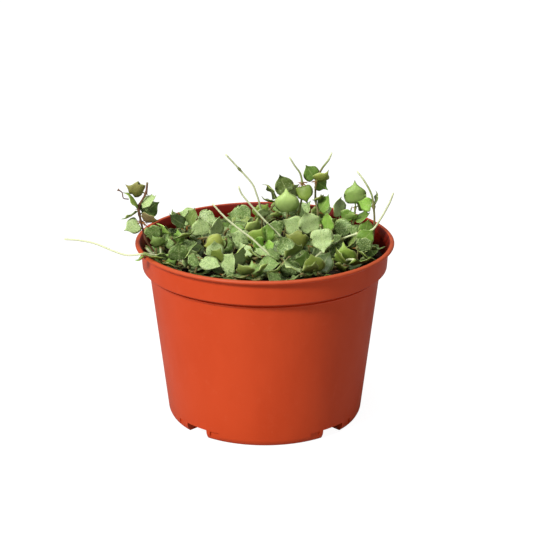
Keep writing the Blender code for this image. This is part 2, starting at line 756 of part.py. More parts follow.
def material(name, colour, roughness):
    """A plain Principled material."""
    made = bpy.data.materials.new(name)
    made.use_nodes = True
    shader = made.node_tree.nodes["Principled BSDF"]
    shader.inputs["Base Color"].default_value = (*colour, 1)
    shader.inputs["Roughness"].default_value = roughness
    shader.inputs["Metallic"].default_value = 0.0
    return made


def mesh_object(name, points, faces, collection, edges=()):
    """A new mesh object from points in millimetres."""
    mesh = bpy.data.meshes.new(name)
    mesh.from_pydata((np.asarray(points, float) * MM).tolist(), list(edges), faces)
    obj = bpy.data.objects.new(name, mesh)
    collection.objects.link(obj)
    return obj


def turned_object(name, profile, collection, steps=STEPS):
    """A profile in the XZ plane, turned about Z by a Screw modifier."""
    points = [(radius, 0, height) for radius, height in profile]
    edges = [(i, i + 1) for i in range(len(points) - 1)]
    obj = mesh_object(name, points, [], collection, edges)
    screw = obj.modifiers.new("Turn", "SCREW")
    screw.steps = screw.render_steps = steps
    screw.use_merge_vertices = True
    screw.merge_threshold = 0.00001
    return obj


def helper(obj):
    """Marks a cutter, which only shows as wires and isn't part of the object."""
    obj.hide_render = True
    obj.display_type = "WIRE"
    return obj


def boolean(obj, operation, other):
    modifier = obj.modifiers.new(f"{operation.title()} {other.name}", "BOOLEAN")
    modifier.operation = operation
    modifier.object = other


def bake(obj):
    """Swaps the object's mesh for what its modifiers make of it."""
    graph = bpy.context.evaluated_depsgraph_get()
    mesh = bpy.data.meshes.new_from_object(obj.evaluated_get(graph))
    obj.modifiers.clear()
    obj.data = mesh


def solids(name, collection, shapes):
    """One helper mesh of several boxes and rods.

    A shape is its sides (4 for a box), its size along x, y and z, its middle and its turn about Z.
    """
    bm = bmesh.new()
    for sides, size, middle, turn in shapes:
        place = Matrix.Rotation(turn, 4, "Z") @ Matrix.Translation(np.array(middle) * MM)
        matrix = place @ Matrix.Diagonal((*(np.array(size) * MM), 1))
        if sides == 4:
            bmesh.ops.create_cube(bm, size=1, matrix=matrix)
        else:
            bmesh.ops.create_cone(bm, cap_ends=True, segments=sides, radius1=0.5, radius2=0.5,
                                  depth=1, matrix=matrix)
    mesh = bpy.data.meshes.new(name)
    bm.to_mesh(mesh)
    bm.free()
    obj = bpy.data.objects.new(name, mesh)
    collection.objects.link(obj)
    return helper(obj)


def notch_blocks(grow, top):
    """A box for each drainage notch, this much larger all round and up to this height."""
    reach = FOOT_RADIUS + 12 - NOTCH_INNER_RADIUS + grow
    size = (reach, NOTCH_WIDTH + 2 * grow, top + 4)
    middle = (NOTCH_INNER_RADIUS - grow + reach / 2, 0, top / 2 - 2)
    return [(4, size, middle, turn) for turn in NOTCH_TURNS]


def build_pot(parts, cutters):
    """The turned shell with its notches roofed over inside, drain holes and moulded pockets."""
    pot = turned_object("pot", pot_profile(), parts)
    core = [(0, 9), (FOOT_RADIUS - 0.1, 9), (FOOT_RADIUS - 0.7, 3), (FOOT_RADIUS - 2.2, 0.5), (0, 0.5)]
    roofs = turned_object("notch_roofs", core, cutters)
    boolean(roofs, "INTERSECT", solids("roof_blocks", cutters, notch_blocks(WALL, NOTCH_HEIGHT + WALL)))
    boolean(pot, "UNION", helper(roofs))
    boolean(pot, "DIFFERENCE", solids("notches", cutters, notch_blocks(0, NOTCH_HEIGHT)))
    drain = (2 * DRAIN_HOLE_RADIUS, 2 * DRAIN_HOLE_RADIUS, 6)
    holes = [(12, drain, (NOTCH_INNER_RADIUS + 6, 0, NOTCH_HEIGHT + 1), turn) for turn in NOTCH_TURNS]
    boolean(pot, "DIFFERENCE", solids("drain_holes", cutters, holes))
    size = (8, POCKET_WIDTH, POCKET_HEIGHT)
    middle = (FOOT_RADIUS - POCKET_DEPTH + 4, 0, 1.2 + POCKET_HEIGHT / 2)
    aside = [math.radians(POCKET_ANGLE * way) for way in (-1, 1)]
    pockets = [(4, size, middle, turn + way) for turn in NOTCH_TURNS for way in aside]
    boolean(pot, "DIFFERENCE", solids("pockets", cutters, pockets))
    bake(pot)
    pot.data.shade_smooth()
    pot.data.set_sharp_from_angle(angle=math.radians(32))
    return pot


def build_soil(parts, cutters, roots):
    """The mix: a turned solid with a lumpy top, clear of the notch roofs, with a hole a stem."""
    soil = turned_object("soil", soil_profile(), parts, SOIL_STEPS)
    bake(soil)
    for vertex in soil.data.vertices:
        if vertex.co.z > (SOIL_EDGE - 0.1) * MM:
            x, y, _ = vertex.co / MM
            vertex.co.z = soil_height(x, y) * MM
    blocks = notch_blocks(WALL + GAP, NOTCH_HEIGHT + WALL + GAP)
    boolean(soil, "DIFFERENCE", solids("roof_room", cutters, blocks))
    side = 2 * (STEM_RADIUS + GAP)
    depth = HOLE_DEPTH + 8
    holes = [
        (4, (side, side, depth), (x, y, soil_height(x, y) + depth / 2 - HOLE_DEPTH - GAP), 0)
        for x, y in roots
    ]
    boolean(soil, "DIFFERENCE", solids("stem_holes", cutters, holes))
    bake(soil)
    return soil


def stem_curve(name, path, radii, collection):
    """A four-sided tube along the path, as a beveled curve with capped ends."""
    curve = bpy.data.curves.new(name, "CURVE")
    curve.dimensions = "3D"
    curve.bevel_depth = MM
    curve.bevel_resolution = 0
    curve.use_fill_caps = True
    line = curve.splines.new("POLY")
    line.points.add(len(path) - 1)
    for point, place, radius in zip(line.points, path * MM, radii):
        point.co = (*place, 1)
        point.radius = radius
    obj = bpy.data.objects.new(name, curve)
    collection.objects.link(obj)
    return obj


def meshed(curve_object, collection):
    """The curve's own mesh, its caps welded on, as a new object of the same name."""
    graph = bpy.context.evaluated_depsgraph_get()
    mesh = bpy.data.meshes.new_from_object(curve_object.evaluated_get(graph))
    bm = bmesh.new()
    bm.from_mesh(mesh)
    bmesh.ops.remove_doubles(bm, verts=bm.verts, dist=0.000001)
    bm.to_mesh(mesh)
    bm.free()
    name = curve_object.name
    bpy.data.objects.remove(curve_object)
    obj = bpy.data.objects.new(name, mesh)
    collection.objects.link(obj)
    return obj


def build_shoot(name, path, radii, leaves, parts):
    """One stem with its leaves grown into it. Its origin is where it leaves the mix."""
    root = path[1]
    stem = meshed(stem_curve(name, path - root, radii, parts), parts)
    if leaves:
        twigs = bpy.data.collections.new("leaves of " + name)
        bpy.context.scene.collection.children.link(twigs)
        for k, leaf in enumerate(leaves):
            points, faces = leaf_mesh(leaf)
            mesh_object(f"leaf_{k}", points - root, faces, twigs)
        union = stem.modifiers.new("Leaves", "BOOLEAN")
        union.operation = "UNION"
        union.operand_type = "COLLECTION"
        union.collection = twigs
        bake(stem)
        for obj in list(twigs.objects):
            bpy.data.objects.remove(obj)
        bpy.data.collections.remove(twigs)
    stem.location = root * MM
    return stem


def main():
    for obj in list(bpy.data.objects):
        bpy.data.objects.remove(obj)
    parts = bpy.data.collections.new("potted_hoya")
    cutters = bpy.data.collections.new("cutters")
    for collection in (parts, cutters):
        bpy.context.scene.collection.children.link(collection)
    plant = bpy.data.objects.new("potted_hoya", None)
    parts.objects.link(plant)

    plastic = material("terracotta plastic", (0.60, 0.09, 0.03), 0.45)
    mix = material("potting mix", (0.03, 0.018, 0.01), 0.95)
    leaf = material("leaf", (0.25, 0.38, 0.12), 0.45)
    runner = material("young stem", (0.55, 0.6, 0.35), 0.5)

    stems, leaves = lay_out_plant()
    pieces = [
        (build_pot(parts, cutters), plastic),
        (build_soil(parts, cutters, [path[0, :2] for path, _ in stems.values()]), mix),
    ]
    for name, (path, radii) in stems.items():
        shoot = build_shoot(name, path, radii, leaves[name], parts)
        pieces.append((shoot, runner if name in RUNNERS else leaf))
    for obj, look in pieces:
        obj.data.materials.clear()
        obj.data.materials.append(look)
        obj.parent = plant
    print(sum(map(len, leaves.values())), "leaves on", len(stems), "stems")


if __name__ == "__main__":
    main()
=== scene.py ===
# %% [markdown]
# # A creeping hoya in a plastic nursery pot
# This file dresses the solids of a potted hoya: small, thick, silver-mottled leaves on wiry stems, in a
# six-inch terracotta-coloured pot. The solids are already at their real size and place. Each step here
# says what a piece is on the real plant, how it could be made, and why one way was chosen.
#
# We start by loading the solids, and we keep their box, because nothing that we add may outgrow it.

# %% Load the solids and keep their box
import math

import bmesh
import bpy
import numpy as np
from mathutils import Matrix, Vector
from mathutils.bvhtree import BVHTree


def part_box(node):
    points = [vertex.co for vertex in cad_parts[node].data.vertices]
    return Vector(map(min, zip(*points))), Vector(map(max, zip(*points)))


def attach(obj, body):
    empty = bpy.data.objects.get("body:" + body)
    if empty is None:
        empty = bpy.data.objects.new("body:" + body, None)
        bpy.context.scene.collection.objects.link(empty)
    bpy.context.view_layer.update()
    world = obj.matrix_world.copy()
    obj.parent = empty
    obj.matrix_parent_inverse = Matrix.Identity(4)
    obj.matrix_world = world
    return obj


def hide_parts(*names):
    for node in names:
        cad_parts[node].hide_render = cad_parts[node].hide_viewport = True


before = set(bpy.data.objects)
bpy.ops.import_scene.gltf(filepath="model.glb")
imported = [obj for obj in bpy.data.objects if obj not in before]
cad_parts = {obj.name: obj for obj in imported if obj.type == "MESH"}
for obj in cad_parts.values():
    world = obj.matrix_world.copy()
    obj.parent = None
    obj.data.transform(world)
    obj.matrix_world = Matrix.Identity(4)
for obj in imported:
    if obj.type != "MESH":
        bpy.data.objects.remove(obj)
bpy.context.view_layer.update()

# %% [markdown]
# ## Sizes
# The same named sizes as the solids have, in millimetres. MM turns them into Blender's metres, but only
# where a mesh or a pattern is made. Keeping one unit in the arithmetic makes slips easy to see. Numbers
# that only one step needs are named at that step.

# %% Name the sizes
MM = 0.001

# Pot: a turned shell with a flared lip, a collar band, and notches and pockets in its foot. The lip
# flares inside between two heights under the top.
POT_HEIGHT = 107.3
LIP_RADIUS = 76.0
LIP_THICKNESS = 2.1
COLLAR_RADIUS = 72.5
COLLAR_BOTTOM = 91.2
WALL_TOP_RADIUS = 68.0
FOOT_RADIUS = 57.9
WALL = 1.2
FLARE = 1.6
FLARE_START = 4.4
FLARE_END = 0.6
NOTCH_WIDTH = 15.7
NOTCH_HEIGHT = 5.7
NOTCH_INNER_RADIUS = 40.0
NOTCH_FROM_FRONT = 43.5
NOTCH_TURNS = [math.radians(front + way * NOTCH_FROM_FRONT) for front in (-90, 90) for way in (-1, 1)]
DRAIN_HOLE_RADIUS = 3.0
POCKET_WIDTH = 6.0
POCKET_HEIGHT = 4.4
POCKET_DEPTH = 0.7
POCKET_ANGLE = 13.2

# Potting mix: it keeps this gap to the pot, and its top is a low lumpy mound.
GAP = 0.35
SOIL_EDGE = 94.0
SOIL_MOUND = 1.0
SOIL_LUMP = 0.55
HOLE_DEPTH = 8.0

# Plant: wiry stems, short leaf stalks and thick leaves with a drawn-out tip.
STEM_RADIUS = 0.75
RUNNER_RADIUS = 0.65
RUNNER_TIP = 0.45
STEM_SIDES = 8
STALK = 2.4
STALK_HALF_WIDTH = 0.5
LEAF_ASPECT = 0.96

# All random draws start from this number, so every run gives the same plant.
SEED = 7

print("pot:", 2 * LIP_RADIUS, "mm across its lip and", POT_HEIGHT, "mm high")

# %% [markdown]
# ## Where the shoots stand
# A hoya like this is a low mat of stems that lie over each other. The ones that can be told apart are
# written down one by one: a root in the mix, the nodes that the stem passes, and the leaves at each node. A
# leaf is given the way that a gardener would point it out: where its tip is on a clock face, how far it
# leans forward, which way its upper side looks, how long it is, how deep it is cupped and, in one word,
# how it is coloured.

# %% Write down the shoots that stand out
# Where a leaf's upper side looks: to the front, up, away (so its domed underside shows), aside, so
# that only its edge shows, or up and away (so a strip of the underside shows).
FRONT = (0.0, -1.0, 0.35)
FRONT_LEFT = (-0.8, -0.7, 0.3)
FRONT_RIGHT = (0.8, -0.7, 0.3)
UP = (0.0, -0.45, 1.0)
AWAY = (0.0, 1.0, 0.25)
LEFT = (-1.0, -0.25, 0.2)
FLAT = (0.0, 0.25, 0.95)
OVER = (0.0, 0.75, 0.65)

# The shoots that are seen one by one: the root's place on the mix, then the nodes from the mix
# up. A node is its place and its leaves. A leaf is where its tip points on a clock face seen from
# the front, in degrees, how far it leans to the front, its face, its length, its cup and its look.
SHOOTS = {
    "shoot_left_spray": ((-57, -4), [
        ((-63, -6, 99), []),
        ((-69.5, -8, 110), [(55, 0, FRONT_RIGHT, 11, 0.2, "mottled")]),
        ((-71.8, -8, 120), [(-112, 25, FRONT, 10, 0.12, "silver")]),
        ((-72.6, -8, 124.5), [(105, 12, OVER, 10.5, 0.15, "brown"), (60, -14, FRONT, 12, 0.1, "deep")]),
        ((-73, -8, 127.6), [(-33, 14, LEFT, 13, 0.2, "green"), (-119, 0, FLAT, 10.5, 0.12, "green")]),
        ((-72.5, -8, 130.3), [(57, 14, UP, 11, 0.1, "silver")]),
        ((-68.6, -8, 137.4), [(-72, 0, AWAY, 11.5, 0.5, "bronze")]),
        ((-67.6, -8, 143.8), []),
    ]),
    "shoot_top_left": ((17, 22), [
        ((18, 17, 108), [(-85, 15, UP, 12, 0.15, "mottled")]),
        ((20.5, 14, 120), [(-100, -10, FRONT, 11, 0.2, "mottled")]),
        ((22, 15, 129), []),
        ((22, 14, 137), [(166, 10, AWAY, 11, 0.45, "green")]),
        ((20.8, 14, 143), []),
        ((17.5, 13, 148), []),
        ((14.4, 12, 153.4), []),
    ]),
    "shoot_top_right": ((31, 20), [
        ((30.5, 17, 108), [(80, 20, UP, 12, 0.15, "mottled")]),
        ((31.5, 12, 119.5), [(16, 6, FRONT_LEFT, 12.5, 0.2, "green")]),
        ((30, 15, 126.5), [(-8, 20, AWAY, 9.5, 0.4, "olive")]),
        ((30.4, 17, 137.4), [(-32, 4, FRONT, 10.5, 0.1, "green"),
                             (38, 24, OVER, 10.5, 0.3, "olive"),
                             (150, 0, FRONT, 10, 0.2, "green")]),
        ((33.2, 16, 144.5), []),
        ((35, 15, 147.6), []),
        ((37.7, 15, 151.3), []),
        ((39.2, 15, 155.3), []),
    ]),
    "shoot_crest": ((8, 20), [
        ((12, 11, 108), [(-70, 10, FRONT, 11.5, 0.2, "mottled")]),
        ((13.4, 8, 119), [(-3, 8, AWAY, 15.5, 0.42, "pale")]),
        ((13.6, 13, 130), [(-21, 4, FRONT, 12.3, 0.3, "olive"),
                           (40, -45, FRONT_RIGHT, 11.5, 0.25, "olive")]),
    ]),
    "shoot_bright_tips": ((-1, 22), [
        ((-1.5, 17, 107), [(100, 10, UP, 12, 0.15, "mottled")]),
        ((-1.2, 14, 115.5), [(34, 5, FRONT, 10.5, 0.1, "silver")]),
        ((7.5, 19, 124), [(-70, 0, FLAT, 9, 0.25, "deep"), (-36, 0, LEFT, 12.5, 0.25, "olive")]),
    ]),
    "shoot_onion": ((50, 15), [
        ((51, 11, 107), [(-70, 10, FRONT, 11, 0.1, "mottled")]),
        ((52.6, 8, 116.5), [(-4, 14, AWAY, 9, 0.35, "onion"), (60, 20, UP, 10, 0.15, "green")]),
        ((53.2, 7, 124.5), [(-2, 0, AWAY, 14, 0.45, "onion"), (58, -20, AWAY, 10, 0.3, "deep")]),
    ]),
    "shoot_right_tall": ((60, 10), [
        ((63.5, 7, 104), [(-60, 15, FRONT, 11, 0.15, "mottled")]),
        ((64.5, 5, 115), []),
        ((63.8, 5, 125.3), [(3, -10, LEFT, 9, 0.2, "olive"), (-60, 12, FRONT, 9.5, 0.2, "bright")]),
        ((62.4, 6, 132.7), []),
        ((58.3, 8, 140), []),
        ((54, 10, 145.5), []),
    ]),
    "shoot_right_arm": ((27, -22), [
        ((29, -21, 102.5), []),
        ((36, -16, 106.5), []),
        ((44.5, -10, 110), [(-120, 25, UP, 11, 0.15, "mottled")]),
        ((53, -7, 112.3), [(-100, 26, FLAT, 11, 0.2, "olive")]),
        ((62, -5, 113.6), [(-97, 8, FLAT, 15, 0.08, "silver")]),
        ((67.3, -6, 121.3), []),
        ((72, -8, 131.3), []),
        ((74, -10, 138), []),
    ]),
    "shoot_dark_round": ((-48, -26), [
        ((-48.8, -28.5, 101.8), [(-2, 14, FRONT, 13, 0.06, "mottled")]),
        ((-42.8, -33, 100.4), [(6, 14, FRONT_RIGHT, 12, 0.1, "silver")]),
    ]),
    "shoot_left_bulb": ((-57, 4), [
        ((-59.5, -5, 103.5), [(-50, 0, AWAY, 10.5, 0.42, "onion"),
                              (30, 20, FRONT_LEFT, 11.5, 0.15, "mottled")]),
        ((-59.5, 4, 104), [(8, 0, FRONT_LEFT, 9, 0.2, "deep"), (38, -5, FRONT, 12.5, 0.2, "mottled")]),
    ]),
    "shoot_left_star": ((-49, -4), [
        ((-50.5, -8, 105), [(-15, 10, FRONT, 11, 0.2, "bright"), (75, 15, UP, 11, 0.15, "mottled")]),
        ((-54.5, -12, 112), [(72, 5, FLAT, 13.5, 0.25, "deep"), (-45, 0, LEFT, 10.5, 0.2, "bright")]),
    ]),
    "shoot_left_dark": ((-46, 14), [
        ((-47, 12, 105), [(-80, 10, UP, 12, 0.15, "mottled")]),
        ((-46, 9, 112), [(-52, 5, UP, 11.5, 0.25, "deep"), (24, -5, FRONT_LEFT, 11.5, 0.15, "olive")]),
    ]),
    "shoot_back_left": ((-44, 38), [
        ((-43.5, 36, 104), [(-70, 10, UP, 12, 0.15, "mottled")]),
        ((-42, 34, 110.2), [(100, 12, FRONT, 12.5, 0.12, "silver"),
                            (-74, 5, FRONT, 9.5, 0.15, "silver")]),
    ]),
    "shoot_mid_left": ((-33, 0), [
        ((-36.5, -5, 109), [(-6, 5, FRONT, 12.5, 0.1, "silver"), (-80, 15, FRONT, 11, 0.2, "olive")]),
        ((-28.7, -7, 110), [(11, 0, FRONT_RIGHT, 12, 0.15, "silver")]),
    ]),
    "shoot_mid_bulb": ((-25, -12), [
        ((-25.5, -13, 102.5), [(20, 10, FRONT, 11.5, 0.15, "mottled")]),
        ((-22, -20, 110), []),
        ((-22.3, -24, 115), [(-110, 0, AWAY, 12, 0.5, "olive")]),
    ]),
    "shoot_mid_back": ((-24, 24), [
        ((-24, 22, 103.5), [(-95, 20, UP, 12, 0.15, "mottled"), (60, 10, UP, 12, 0.15, "mottled")]),
        ((-22, 19, 107), [(75, 5, UP, 12, 0.2, "mottled")]),
    ]),
    "shoot_broad_back": ((-6, 47), [
        ((-6.5, 44.5, 105.8), [(-78, 8, FRONT, 15, 0.12, "mottled"),
                               (45, -10, AWAY, 11, 0.3, "green")]),
    ]),
    "shoot_centre": ((-8, -3), [
        ((-8.3, -10, 107), [(-55, 15, FRONT, 12.5, 0.1, "silver"), (35, 0, AWAY, 11, 0.25, "green")]),
    ]),
    "shoot_bright_spikes": ((0, -9), [
        ((-1.3, -12, 103.5), [(-26, 12, FRONT_RIGHT, 11, 0.2, "bright"),
                              (30, 12, FRONT_LEFT, 11, 0.2, "bright")]),
        ((0.5, -9, 107), [(95, 20, UP, 12, 0.1, "mottled"), (8, -5, FRONT, 11, 0.15, "bright")]),
    ]),
    "shoot_silver_pair": ((21, 7), [
        ((22, 6, 104), [(-75, 20, UP, 12, 0.15, "mottled")]),
        ((23.6, 3, 110.5), [(-57, 8, FRONT, 13.5, 0.12, "silver"),
                            (20, -15, FRONT, 11, 0.2, "silver")]),
    ]),
    "shoot_silver_broad": ((32, 3), [
        ((29, 0, 109.3), [(-20, 8, FRONT, 14.5, 0.1, "silver"), (85, 10, UP, 11.5, 0.15, "silver")]),
        ((36.5, -2, 111), [(-2, 0, FRONT_LEFT, 11.5, 0.15, "bright")]),
    ]),
    "shoot_silver_round": ((36, -9), [
        ((35.5, -11, 108), [(75, 20, UP, 11, 0.1, "mottled")]),
        ((33.5, -15, 117.5), []),
        ((32, -17.5, 121), [(173, 18, FRONT, 14.5, 0.06, "silver")]),
    ]),
    "shoot_olive_curl": ((27, -12), [
        ((25.5, -14, 107.5), [(-61, 5, AWAY, 14, 0.3, "olive"), (40, 15, UP, 10.5, 0.1, "mottled")]),
    ]),
    "shoot_right_mid": ((42, 12), [
        ((39.8, 6, 111), [(80, 8, FRONT, 12, 0.1, "mottled"), (-50, 10, UP, 11, 0.15, "mottled")]),
        ((44.5, 13, 115), [(0, 0, FRONT_RIGHT, 12.5, 0.3, "silver"),
                           (60, -10, FRONT, 10, 0.2, "green")]),
    ]),
    "shoot_right_green": ((56, 2), [
        ((58.7, 4, 107.3), [(-2, -4, FRONT, 11, 0.15, "green"),
                            (-55, 12, FRONT_RIGHT, 10.5, 0.12, "mottled")]),
    ]),
    "shoot_right_olive": ((47, -24), [
        ((46.8, -27.5, 99.5), [(-8, 10, AWAY, 14, 0.28, "green"), (72, 0, UP, 9.5, 0.15, "mottled")]),
    ]),
    "shoot_right_pair": ((53, -14), [
        ((54.5, -17, 109.8), [(103, 5, FLAT, 14.5, 0.3, "mottled"),
                              (62, 12, FRONT, 12, 0.12, "green")]),
        ((52.5, -24, 109), [(112, 10, FLAT, 13, 0.25, "deep"),
                            (68, 24, FRONT_RIGHT, 10.5, 0.12, "mottled")]),
    ]),
    "shoot_front_dark": ((23, -37), [
        ((22.6, -40.5, 98.5), [(3, 8, FRONT, 14, 0.06, "deep")]),
        ((15.5, -46, 98.6), [(-12, 12, FRONT, 12.5, 0.1, "mottled")]),
    ]),
    "shoot_front_flat": ((-3, -34), [
        ((-5.8, -39, 105), [(82, 22, UP, 14.5, 0.12, "mottled")]),
    ]),
    "shoot_front_light": ((10, -28), [
        ((10, -31, 105.5), [(57, 12, FRONT, 12, 0.12, "mottled"), (-60, 15, UP, 11, 0.12, "mottled")]),
    ]),
    "shoot_front_bulb": ((-10, -44), [
        ((-4.8, -48.5, 98.8), [(-12, 10, AWAY, 11, 0.48, "onion")]),
        ((-2.5, -51, 100), [(50, 5, FLAT, 14, 0.3, "silver")]),
    ]),
    "shoot_front_mottled": ((-24, -38), [
        ((-23.3, -41.5, 98.9), [(19, 8, FRONT_LEFT, 14, 0.2, "silver"),
                                (-88, 6, FLAT, 12, 0.3, "mottled")]),
    ]),
    "shoot_front_tall": ((-15, -32), [
        ((-15.9, -36.5, 99.5), [(6, 5, FRONT_RIGHT, 15.5, 0.2, "silver"),
                                (-140, 25, UP, 10, 0.12, "mottled")]),
    ]),
    "shoot_silver_low": ((-40, -33), [
        ((-37, -36, 107.4), [(104, 28, UP, 12.5, 0.1, "silver"), (-75, 25, UP, 11, 0.1, "mottled")]),
    ]),
    "shoot_rim_left": ((-55, -22), [
        ((-59, -29.5, 103.5), [(94, 15, FLAT, 12.5, 0.2, "olive"),
                               (-8, 0, FRONT_LEFT, 10, 0.2, "mottled")]),
    ]),
}

print(len(SHOOTS), "shoots written down by hand")

# %% [markdown]
# ## The runners
# A hoya also sends out runners: young, nearly bare shoots that feel about for something to climb. Here
# each is a root on the mix and the points of its route. One of them has a first pair of leaves, at the
# point of its route with this number. Some shoots end in such a bare tip too, so many points long.

# %% Write down the runners
RUNNERS = {
    "runner_left": (
        (-45, -16),
        [(-52, -21, 102), (-61, -29, 106.5), (-68, -34.5, 109.3), (-78, -35, 108.8),
         (-86, -34, 111), (-96, -33, 115), (-105, -33, 117), (-113.5, -34, 118)],
    ),
    "runner_tall": (
        (2, 31),
        [(0.5, 26, 105), (-1.5, 18, 116), (-3, 12.5, 124.5), (-7.5, 10, 138), (-14.8, 8, 147.2),
         (-22.7, 5, 157)],
    ),
    "runner_middle": (
        (13.5, -4),
        [(12, -5, 106), (9.3, -5.5, 110.2), (1.9, -6.5, 118.3), (-7.4, -8, 129.4),
         (-13.3, -9, 137.2), (-15, -10, 142)],
    ),
    "runner_front": (
        (4.5, -23),
        [(3, -25, 105), (-0.5, -25, 108.6), (-7.3, -25, 115.3), (-14.5, -25, 121),
         (-22.9, -25, 128.5), (-29.7, -25, 136.2)],
    ),
}
RUNNER_LEAVES = {"runner_left": [(2, (-101, 12, FLAT, 8.0, 0.3)), (2, (88, 10, FLAT, 12.0, 0.15))]}
LEAFLESS_TIP = {"shoot_left_spray": 1, "shoot_top_left": 3, "shoot_top_right": 3,
                "shoot_right_tall": 3, "shoot_right_arm": 4}

print(len(RUNNERS), "runners")

# %% [markdown]
# ## Grids that close round
# A pot, a stem and a leaf are all the same kind of surface: a row of rings, in which each ring has as many
# points as the next. So one short function numbers the faces of them all.

# %% Define the grid, the turned shape and the tube
OFF_AXIS = (0.3, 1.0, 0.2)

def grid_faces(rings, sides):
    """Quads between rings of points: each links two neighbours in one ring with those in the next."""
    i, j = np.meshgrid(np.arange(rings - 1), np.arange(sides), indexing="ij")
    here, there = i * sides + j, i * sides + (j + 1) % sides
    return np.stack([here, there, there + sides, here + sides], axis=-1).reshape(-1, 4).tolist()

def revolve(outline, steps):
    """Points and quads of an outline of radius and height pairs, carried round Z."""
    turn = 2 * math.pi * np.arange(steps) / steps
    radius, height = np.array(outline, float).T
    across = np.stack([np.cos(turn), np.sin(turn)], -1) * radius[:, None, None]
    up = np.broadcast_to(height[:, None, None], (*across.shape[:2], 1))
    return np.concatenate([across, up], axis=2).reshape(-1, 3), grid_faces(len(outline), steps)

def unit(vector):
    """The vector at length one."""
    vector = np.asarray(vector, float)
    return vector / np.linalg.norm(vector)

def tube(path, radii, sides):
    """Points and faces of a closed tube: rings whose frame is carried along the path unturned."""
    tangents = np.gradient(path, axis=0)
    tangents /= np.linalg.norm(tangents, axis=1)[:, None]
    across = unit(np.cross(tangents[0], OFF_AXIS))
    frames = []
    for tangent in tangents:
        across = unit(across - tangent * (across @ tangent))
        frames.append((across, np.cross(tangent, across)))
    frames = np.array(frames)
    turn = 2 * math.pi * np.arange(sides) / sides
    ring = np.cos(turn)[:, None] * frames[:, None, 0] + np.sin(turn)[:, None] * frames[:, None, 1]
    points = (path[:, None] + ring * np.reshape(radii, (-1, 1, 1))).reshape(-1, 3)
    caps = [list(range(sides))[::-1], list(range(len(points) - sides, len(points)))]
    return points, grid_faces(len(path), sides) + caps

print("ten rings of a stem are joined by", len(grid_faces(10, STEM_SIDES)), "quads")

# %% [markdown]
# ## Curves and the outline of a leaf
# A stem is a smooth curve through its nodes. A Catmull-Rom curve fits well, because it passes through
# every point that we gave it, while a Bezier curve would need handles as well. The outline of a blade is
# one function of the share v along it, and every leaf, plain or fine, takes its width from it.

# %% Define the curves and the outline
STRAIGHT_OUT = 1.5
STALK_SINK = 0.35
USUAL_LENGTH = 14
WIDEST = 0.36

def soil_height(x, y):
    """Height of the mix: a low mound, with lumps as a sum of two crossed waves."""
    mound = SOIL_MOUND * (1 - (x * x + y * y) / COLLAR_RADIUS**2)
    lumps = np.sin(x / 6.1 + 0.7) * np.cos(y / 5.3) + 0.6 * np.sin((x - y) / 6.3)
    return SOIL_EDGE + mound + SOIL_LUMP * lumps

def spline(points, step):
    """A Catmull-Rom curve that keeps each of the points, with even steps between each two."""
    points = np.asarray(points, float)
    padded = np.vstack([2 * points[0] - points[1], points, 2 * points[-1] - points[-2]])
    runs = []
    for a, b, c, d in zip(padded[:-3], padded[1:-2], padded[2:-1], padded[3:]):
        count = max(1, round(float(np.linalg.norm(c - b)) / step))
        t = np.linspace(0, 1, count, endpoint=False)[:, None]
        cubic = 2 * b + (c - a) * t + (2 * a - 5 * b + 4 * c - d) * t**2
        runs.append((cubic + (3 * b - a - 3 * c + d) * t**3) / 2)
    return np.vstack([*runs, points[-1:]])

def stem_path(root, route, step):
    """Straight up out of its hole in the mix, then along the route."""
    top = soil_height(*root)
    foot = np.array([[*root, top - HOLE_DEPTH], [*root, top + STRAIGHT_OUT]], float)
    return np.vstack([foot[:1], spline(np.vstack([foot[1:], route]), step)])

def smoothstep(v, low, high):
    """0 below the low value, 1 above the high one, and an S curve between."""
    t = np.clip((v - low) / (high - low), 0, 1)
    return t * t * (3 - 2 * t)

def blade_width(v):
    """Half-width share along the blade: a round shoulder, a fall, and a slim drip tip at its end."""
    shoulder = np.sqrt(np.clip(1 - (1 - v / WIDEST) ** 2, 0, 1))
    fall = (1 - np.clip((v - WIDEST) / (1 - WIDEST), 0, 1) ** 2.2) ** 1.15
    return np.where(v < WIDEST, shoulder, fall * (1 - 0.6 * smoothstep(v, 0.60, 0.88)))

def leaf_frame(leaf):
    """Base of the blade, and its three directions: along, across and out of its upper side."""
    along = unit(leaf["along"])
    face = unit(leaf["face"] - along * (np.asarray(leaf["face"]) @ along))
    stalk_way = unit(along - STALK_SINK * face)
    base = leaf["node"] + stalk_way * (STALK * leaf["length"] / USUAL_LENGTH)
    return base, along, np.cross(face, along), face

shares = np.linspace(0, 1, 101)
print("a blade is widest at", shares[blade_width(shares).argmax()], "of its length")

# %% [markdown]
# ## A plain leaf to test the space with
# Before a fine leaf is made, we have to know where there is room for it. A plain leaf of four sections
# is enough for that, and it is quick to test against its neighbours.

# %% Define the plain leaf
STATIONS = np.array([0.0, 0.11, 0.38, 0.70, 1.0])
HEEL = np.array([0.0, -0.08, -0.03, 0.0, 0.0])
THICKNESS = 1.4 * np.array([0.6, 0.9, 1.0, 0.8, 0.0])
SHALLOW_CUP = 0.22

